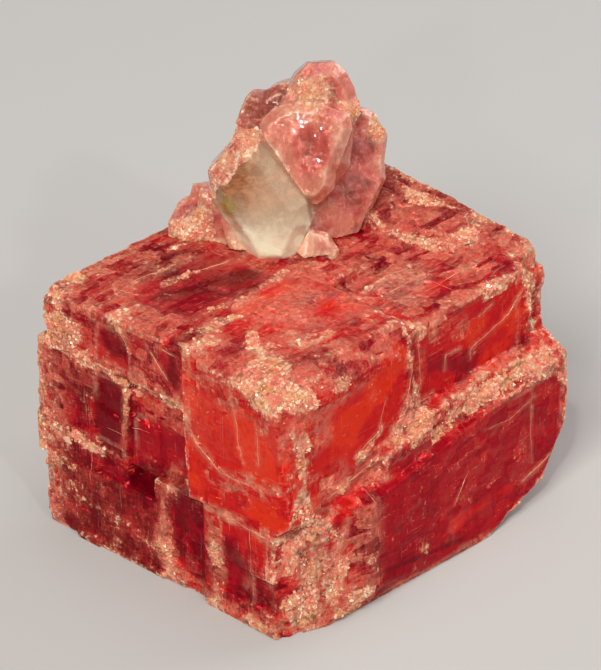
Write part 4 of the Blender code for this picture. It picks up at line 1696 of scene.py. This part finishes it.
@dataclass
class QuartzCrystal:
    """The quartz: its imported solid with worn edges, and a film of milk just over the clear body."""

    node: bpy.types.Object
    grain: float = 0.2
    ripple: float = 0.05
    frost_lift: float = 0.025
    sharp_angle: float = 30.0
    open_side: tuple[float, float, float] = (0.04, -0.78, 0.62)
    root_side: tuple[float, float, float] = (-0.67, 0.46, 0.58)

    def build(self) -> Skin:
        """The clear body: a fine skin of the solid, very slightly rippled.

        Returns:
            The body's skin.
        """
        skin = fine_skin(self.node, self.grain, skewed=False)
        place = skin.points / MM
        ripple = self.ripple * layered_noise(place, 2.2, 33)
        low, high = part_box(self.node.name)
        rippled = skin.points + skin.normals() * (ripple * MM)[:, None]
        skin.points = seated(kept_inside(rippled, low, high))
        return skin

    def frost(self, body: Skin) -> Skin:
        """The milky film: the body's skin moved out by a hair along its normals.

        Crust is painted where it faces away from the open side, and high on the left where it was rooted.

        Args:
            body: the clear body.

        Returns:
            The film's skin.
        """
        normals = body.normals()
        place = body.points / MM
        behind = ramp(-(normals @ np.array(self.open_side)), -0.15, 0.3)
        upper = ramp(place @ np.array(self.root_side) + 0.5 * layered_noise(place, 1.5, 37), 24.4, 25.6)
        skin = Skin(body.points + normals * self.frost_lift * MM, body.faces)
        skin.paint = {"crust": np.maximum(behind, upper)}
        return skin


class Shape(Enum):
    """The small solids that are scattered, by their thickness: blocky grains and thin flakes."""

    GRAIN = 0.75
    FLAKE = 0.2


@dataclass
class Scatter:
    """Small rhombs grown over a skin where it is crusted, nearly in line with the big rhomb's edges."""

    shape: Shape
    count: int
    size: tuple[float, float]
    sink: float
    sway: float
    threshold: float
    seed: int

    def unit(self) -> tuple[Array, Array]:
        """A cube one unit across.

        Returns:
            Its corners, and its faces in triangles.
        """
        points = np.array(list(itertools.product((-0.5, 0.5), repeat=3)))
        sides = [[0, 1, 3, 2], [4, 6, 7, 5], [0, 4, 5, 1], [2, 3, 7, 6], [0, 2, 6, 4], [1, 5, 7, 3]]
        quads = np.array(sides)
        return points, np.concatenate([quads[:, [0, 1, 2]], quads[:, [0, 2, 3]]])

    def frames(self, rng: np.random.Generator, normals: Array) -> Array:
        """Which way each small solid leans: the rhomb's edges, the one across the face last, a bit turned.

        The turn is the identity plus the cross-product matrix of a short random vector.

        Args:
            rng: the random source.
            normals: the face normal under each.

        Returns:
            One matrix for each, with its axes as columns.
        """
        axes = FRAME.axes()
        faces = np.linalg.inv(axes)
        faces /= np.linalg.norm(faces, axis=1)[:, None]
        across = np.abs(normals @ faces.T).argmax(axis=1)
        order = np.array([[1, 2, 0], [2, 0, 1], [0, 1, 2]])[across]
        edges = np.transpose((axes * np.array([-1.0, 1.0, 1.0])).T[order], (0, 2, 1))
        x, y, z = rng.normal(size=(3, len(normals))) * self.sway
        zero = np.zeros(len(normals))
        turn = np.array([[zero + 1, -z, y], [z, zero + 1, -x], [-y, x, zero + 1]]).transpose(2, 0, 1)
        return turn @ edges

    def build(self, skin: Skin, box: tuple[Vector, Vector]) -> Skin:
        """Sprinkles the solids: places are drawn by area times crust, and all are worked out at once.

        Args:
            skin: the skin they sit on.
            box: what they may not reach out of.

        Returns:
            All of them as one skin, with a value for each painted on it.
        """
        rng = np.random.default_rng(self.seed)
        triangles = skin.triangles()
        direction, area = skin.face_normals()
        crust = skin.paint["crust"][triangles].mean(axis=1)
        clumps = 0.35 + 1.3 * layered_noise(skin.points[triangles].mean(axis=1) / MM, 1.4, self.seed)
        high = skin.points[triangles][:, :, 2].mean(axis=1) > 0.5 * MM
        weight = area * high * (np.clip(crust - self.threshold, 0, 1) * np.clip(clumps, 0.0, 1))
        chosen = rng.choice(len(triangles), self.count, p=weight / weight.sum())
        share = rng.dirichlet((1, 1, 1), self.count)
        places = np.einsum("nk,nkd->nd", share, skin.points[triangles[chosen]])
        size = rng.uniform(0, 1, self.count) ** 2.5 * (self.size[1] - self.size[0]) + self.size[0]
        stretch = rng.uniform(0.6, 1.5, (self.count, 3)) * size[:, None]
        stretch[:, 2] = size * self.shape.value
        frames = self.frames(rng, direction[chosen])
        unit, faces = self.unit()
        points = np.einsum("nij,nkj->nki", frames, unit[None] * stretch[:, None, :] * MM)
        lift = stretch[:, 2] * (0.5 - self.sink) * MM
        points += (places + direction[chosen] * lift[:, None])[:, None, :]
        points = kept_inside(points.reshape(-1, 3), *box)
        joined = (faces[None] + (np.arange(self.count) * len(unit))[:, None, None]).reshape(-1, 3)
        made = Skin(points, joined)
        if made.volume() < 0:
            made.faces = made.faces[:, ::-1]
        made.paint = {"grain": np.repeat(rng.uniform(0, 1, self.count), len(unit))}
        return made


@dataclass
class CleavageRidges:
    """Thin raised threads of pale crystal: the drawn ones, and shorter ones in line with the edges."""

    zones: RhombZones
    height: float = 0.05
    spacing: float = 0.2
    drawn_share: float = 0.28
    short_count: int = 34
    short_length: tuple[float, float] = (0.8, 3.6)
    short_width: tuple[float, float] = (0.03, 0.09)
    least_points: int = 4
    back_half: float = 12.0
    seed: int = 91

    def thread(
        self, skew: Array, face: tuple[int, float, float], path: Array, width: float, key: int
    ) -> Skin:
        """One thread, laid on the skin: a diamond profile carried along the path, fading in and out.

        The width at each place is the full width times noise, times the square root of a half sine along it.

        Args:
            skew: the skin's points as rows of (a, b, c).
            face: the skew axis across the face, and the lowest and highest place of the face along it.
            path: the points along the face's other two axes.
            width: the full width in mm.
            key: picks the noise.

        Returns:
            The thread, or an empty skin where the face isn't under it.
        """
        nothing = Skin(np.empty((0, 3)), np.empty((0, 4), int))
        across, low, high = face
        others = [axis for axis in range(3) if axis != across]
        reach = (skew[:, others] > path.min(axis=0) - 1) & (skew[:, others] < path.max(axis=0) + 1)
        near = skew[reach.all(axis=1) & (skew[:, across] > low) & (skew[:, across] < high)]
        if len(near) < 20 or len(path) < self.least_points:
            return nothing
        apart = ((path[:, None, :] - near[None][:, :, others]) ** 2).sum(axis=2)
        found = apart.argmin(axis=1)
        kept = apart[np.arange(len(path)), found] < 0.16
        if kept.sum() < self.least_points:
            return nothing
        line = np.zeros((kept.sum(), 3))
        line[:, others] = path[kept]
        line[:, across] = near[found[kept], across]
        count = len(line)
        centre = FRAME.to_world(line)
        outward = np.linalg.inv(FRAME.axes())[across]
        faces_high = across == 2 or line[:, across].mean() > self.back_half
        outward *= (1 if faces_high else -1) / np.linalg.norm(outward)
        tangent = np.gradient(centre, axis=0)
        tangent /= np.maximum(np.linalg.norm(tangent, axis=1), 1e-12)[:, None]
        side = np.cross(tangent, outward)
        fade = np.sqrt(np.sin(np.linspace(0.01, math.pi - 0.01, count)))
        rough = 0.55 + 0.6 * smooth_noise(line, 0.7, self.seed + key)
        half = fade * np.clip(rough, 0.12, 1.2) * width / 2 * MM
        ring = np.stack(
            [
                centre - side * half[:, None],
                centre + outward * (half * 0.6 + fade * self.height * 0.4 * MM)[:, None],
                centre + side * half[:, None],
                centre - outward * (half * 0.8)[:, None],
            ],
            axis=1,
        )
        base = np.arange(count - 1)[:, None] * 4 + np.arange(4)[None]
        after = np.arange(count - 1)[:, None] * 4 + (np.arange(4)[None] + 1) % 4
        quads = np.stack([base, after, after + 4, base + 4], axis=2).reshape(-1, 4)
        ends = np.array([[3, 2, 1, 0], [4 * count - 4, 4 * count - 3, 4 * count - 2, 4 * count - 1]])
        made = Skin(ring.reshape(-1, 3), np.concatenate([quads, ends]))
        if made.volume() < 0:
            made.faces = made.faces[:, ::-1]
        return made

    def drawn(self, skew: Array) -> list[Skin]:
        """The threads along the drawn pale lines.

        Args:
            skew: the skin's points as rows of (a, b, c).

        Returns:
            One skin for each thread.
        """
        threads = []
        for key, mark in enumerate(mark for mark in self.zones.marks if mark.kind is Kind.LINE):
            corners = np.array(mark.points)
            lengths = np.concatenate([[0], np.cumsum(np.linalg.norm(np.diff(corners, axis=0), axis=1))])
            steps = np.arange(0, lengths[-1], self.spacing)
            path = np.stack([np.interp(steps, lengths, corners[:, axis]) for axis in range(2)], axis=1)
            seeds = np.stack([path[:, 0], path[:, 1], np.zeros(len(path))], axis=1)
            sway = [smooth_noise(seeds, 1.2, key), smooth_noise(seeds, 1.2, key + 50)]
            path = path + 0.1 * np.stack(sway, axis=1)
            threads.append(self.thread(skew, mark.face.value, path, mark.width * self.drawn_share, key))
        return threads

    def short(self, skin: Skin, skew: Array) -> list[Skin]:
        """The short threads: each starts at a random place and follows one of the rhomb's edges.

        Args:
            skin: the rhomb's skin.
            skew: its points as rows of (a, b, c).

        Returns:
            One skin for each thread.
        """
        rng = np.random.default_rng(self.seed)
        normals = skin.normals()
        faces = np.linalg.inv(FRAME.axes())
        faces /= np.linalg.norm(faces, axis=1)[:, None]
        flat = np.abs(normals @ faces.T)
        open_face = (flat.max(axis=1) > 0.97) & (skew[:, 2] > 0.6) & (skew[:, 0] > -1.2)
        chosen = rng.choice(np.flatnonzero(open_face), self.short_count)
        threads = []
        for key, start in enumerate(chosen):
            across = int(flat[start].argmax())
            along = rng.integers(0, 2)
            length = rng.uniform(*self.short_length)
            steps = np.arange(0, length, self.spacing)
            others = [axis for axis in range(3) if axis != across]
            path = np.tile(skew[start, others], (len(steps), 1))
            path[:, along] += steps
            path[:, 1 - along] += steps * rng.normal(0, 0.05)
            depth = skew[start, across]
            width = rng.uniform(*self.short_width)
            face = (across, depth - 0.9, depth + 0.9)
            threads.append(self.thread(skew, face, path, width, 100 + key))
        return threads

    def build(self, skin: Skin, box: tuple[Vector, Vector]) -> Skin:
        """All the threads as one skin.

        Args:
            skin: the rhomb's skin.
            box: what they may not reach out of.

        Returns:
            The threads, with a value for each painted on it.
        """
        skew = FRAME.to_skew(skin.points)
        threads = [thread for thread in self.drawn(skew) + self.short(skin, skew) if len(thread.points)]
        starts = np.cumsum([0] + [len(thread.points) for thread in threads[:-1]])
        points = kept_inside(np.concatenate([thread.points for thread in threads]), *box)
        faces = np.concatenate([thread.faces + start for thread, start in zip(threads, starts)])
        tones = np.random.default_rng(self.seed + 1).uniform(0.0, 0.8, len(threads))
        value = np.repeat(tones, [len(thread.points) for thread in threads])
        return Skin(points, faces, {"grain": value})


# --------------------------------------------------------------------------------------------------
# The studio
# --------------------------------------------------------------------------------------------------


@dataclass(frozen=True)
class Lamp:
    """A square soft lamp that looks at the specimen, placed by azimuth and elevation in degrees."""

    name: str
    azimuth: float
    elevation: float
    distance: float
    size: float
    power: float
    colour: Colour
    aim_height: float = 15.0

    def place(self) -> None:
        """Hangs the lamp."""
        light = bpy.data.lights.new(self.name, "AREA")
        light.size = self.size
        light.energy = self.power
        light.color = self.colour
        made = bpy.data.objects.new(self.name, light)
        turn, rise = math.radians(self.azimuth), math.radians(self.elevation)
        back = Vector((math.sin(turn) * math.cos(rise), -math.cos(turn) * math.cos(rise), math.sin(rise)))
        made.matrix_world = back.to_track_quat("Z", "Y").to_matrix().to_4x4()
        made.location = Vector((0, 0, self.aim_height * MM)) + back * self.distance
        bpy.context.scene.collection.objects.link(made)


@dataclass(frozen=True)
class Studio:
    """The floor, the lamps and the camera."""

    camera_turn: float = math.radians(-2.694)
    camera_rise: float = math.radians(38.579)
    camera_distance: float = 204.0
    camera_right: float = 0.933
    camera_up: float = 26.11
    frame_corner: tuple[float, float, float] = (1.957, 18.354, 0.0)
    focal_pixels: float = 2400.0
    picture: tuple[int, int] = (601, 670)
    floor_size: float = 3.0
    floor_colour: Colour = (0.52, 0.51, 0.50)

    def build(self) -> None:
        """Makes the floor, the sky, the lamps and the camera."""
        self.floor()
        self.sky()
        for lamp in (
            Lamp("key", -42, 52, 0.5, 0.22, 1.52, (1.0, 0.95, 0.88)),
            Lamp("fill", 58, 30, 0.6, 0.4, 0.55, (1.0, 0.97, 0.95)),
            Lamp("rim", 128, 30, 0.5, 0.22, 0.8, (1.0, 0.98, 0.95)),
            Lamp("top", 172, 62, 0.55, 0.3, 0.5, (1.0, 1.0, 1.0)),
            Lamp("glint_left", -22, 62, 0.7, 0.04, 0.7, (1.0, 0.98, 0.94)),
            Lamp("glint_front", -17, 29, 0.7, 0.035, 0.3, (1.0, 0.98, 0.95)),
            Lamp("glint_right", 35, 40, 0.7, 0.04, 0.5, (1.0, 0.98, 0.94)),
        ):
            lamp.place()
        self.camera()

    def floor(self) -> None:
        """A wide pale sheet under the specimen."""
        half = self.floor_size / 2
        points = np.array([(-half, -half, 0), (half, -half, 0), (half, half, 0), (-half, half, 0)])
        made = Skin(points, np.array([[0, 1, 2, 3]])).piece("floor")
        material, graph, shader = new_material("floor")
        graph.fill(shader, {"Base Color": self.floor_colour, "Roughness": 0.75})
        made.data.materials.append(material)

    def sky(self) -> None:
        """A soft even light from all round."""
        world = bpy.data.worlds.new("studio")
        world.use_nodes = True
        background = world.node_tree.nodes["Background"]
        background.inputs["Color"].default_value = (0.92, 0.93, 0.95, 1)
        background.inputs["Strength"].default_value = 0.2
        bpy.context.scene.world = world
        bpy.context.scene.view_settings.view_transform = "Standard"

    def camera(self) -> None:
        """A long lens that looks down at the front corner, in line with the fitted edges of the rhomb."""
        turn, rise = self.camera_turn, self.camera_rise
        right = Vector((math.cos(turn), math.sin(turn), 0))
        back = Vector((math.sin(turn) * math.cos(rise), -math.cos(turn) * math.cos(rise), math.sin(rise)))
        up = back.cross(right)
        place = right * self.camera_right + up * self.camera_up + back * self.camera_distance
        place -= Vector(self.frame_corner)
        lens = bpy.data.cameras.new("camera")
        lens.sensor_width = 36.0
        lens.lens = self.focal_pixels * lens.sensor_width / max(self.picture)
        lens.clip_start = 0.01
        lens.clip_end = 10.0
        made = bpy.data.objects.new("camera", lens)
        matrix = Matrix((right, up, back)).transposed().to_4x4()
        matrix.translation = place * MM
        made.matrix_world = matrix
        bpy.context.scene.collection.objects.link(made)
        bpy.context.scene.camera = made


def finish(
    skin: Skin, name: str, material: bpy.types.Material, sharp_angle: float | None = None
) -> bpy.types.Object:
    """Makes a piece of a skin, gives it its material and slot, and lets it ride on the specimen.

    Args:
        skin: the piece's skin.
        name: the piece's name.
        material: its material.
        sharp_angle: shades it smooth up to this angle between faces, in degrees.

    Returns:
        The piece.
    """
    piece = skin.piece(name)
    piece.data.materials.append(material)
    if sharp_angle is not None:
        piece.data.shade_smooth()
        piece.data.set_sharp_from_angle(angle=math.radians(sharp_angle))
    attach(piece, "root")
    LOG.info("%s: %d faces", piece.name, len(piece.data.polygons))
    return piece


def main() -> None:
    """Builds the studio, then the specimen's pieces in order."""
    logging.basicConfig(level=logging.INFO, format="%(message)s")
    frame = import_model()
    nodes = frame["nodes"]
    Studio().build()
    effects = Effects.build()
    red = RedFinish(effects).material()
    pink = PinkFinish(effects).material()
    quartz = QuartzFinish(effects).material()
    milk = MilkFinish(effects).material()
    grains = GrainFinish(effects).material()

    rhomb = nodes["rhodochrosite_rhomb"]
    blocks = RhombBody(rhomb, RhombZones())
    body = blocks.build()
    piece = finish(body, "stepped_rhomb", red, blocks.sharp_angle)
    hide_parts(rhomb.name)

    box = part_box(rhomb.name)
    flakes = Scatter(Shape.FLAKE, 500, (0.15, 0.5), sink=0.8, sway=0.25, threshold=0.6, seed=71)
    finish(flakes.build(body, box), "cleavage_flakes", grains)
    sugar = Scatter(Shape.GRAIN, 9000, (0.05, 0.23), sink=0.84, sway=0.6, threshold=0.42, seed=72)
    finish(sugar.build(body, box), "crust_grains", grains)
    ridges = CleavageRidges(blocks.zones).build(body, box)
    finish(ridges, "cleavage_ridges", grains)

    clear = nodes["quartz_crystal"]
    crystal = QuartzCrystal(clear)
    glass = crystal.build()
    piece = finish(glass, "clear_quartz", quartz, crystal.sharp_angle)
    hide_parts(clear.name)

    top = nodes["summit_crystals"]
    crystals = SummitCrystals(top, glass.points)
    summit = crystals.build()
    piece = finish(summit, "pink_crystals", pink, crystals.sharp_angle)
    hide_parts(top.name)
    dust = Scatter(Shape.GRAIN, 3000, (0.05, 0.2), sink=0.8, sway=0.6, threshold=0.42, seed=73)
    finish(dust.build(summit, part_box(top.name)), "summit_grains", grains)

    frost = crystal.frost(glass)
    finish(frost, "quartz_frost", milk, crystal.sharp_angle)
    rind = Scatter(Shape.GRAIN, 900, (0.06, 0.24), sink=0.75, sway=0.6, threshold=0.5, seed=74)
    finish(rind.build(frost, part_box(clear.name)), "quartz_grains", grains)


if __name__ == "__main__":
    main()
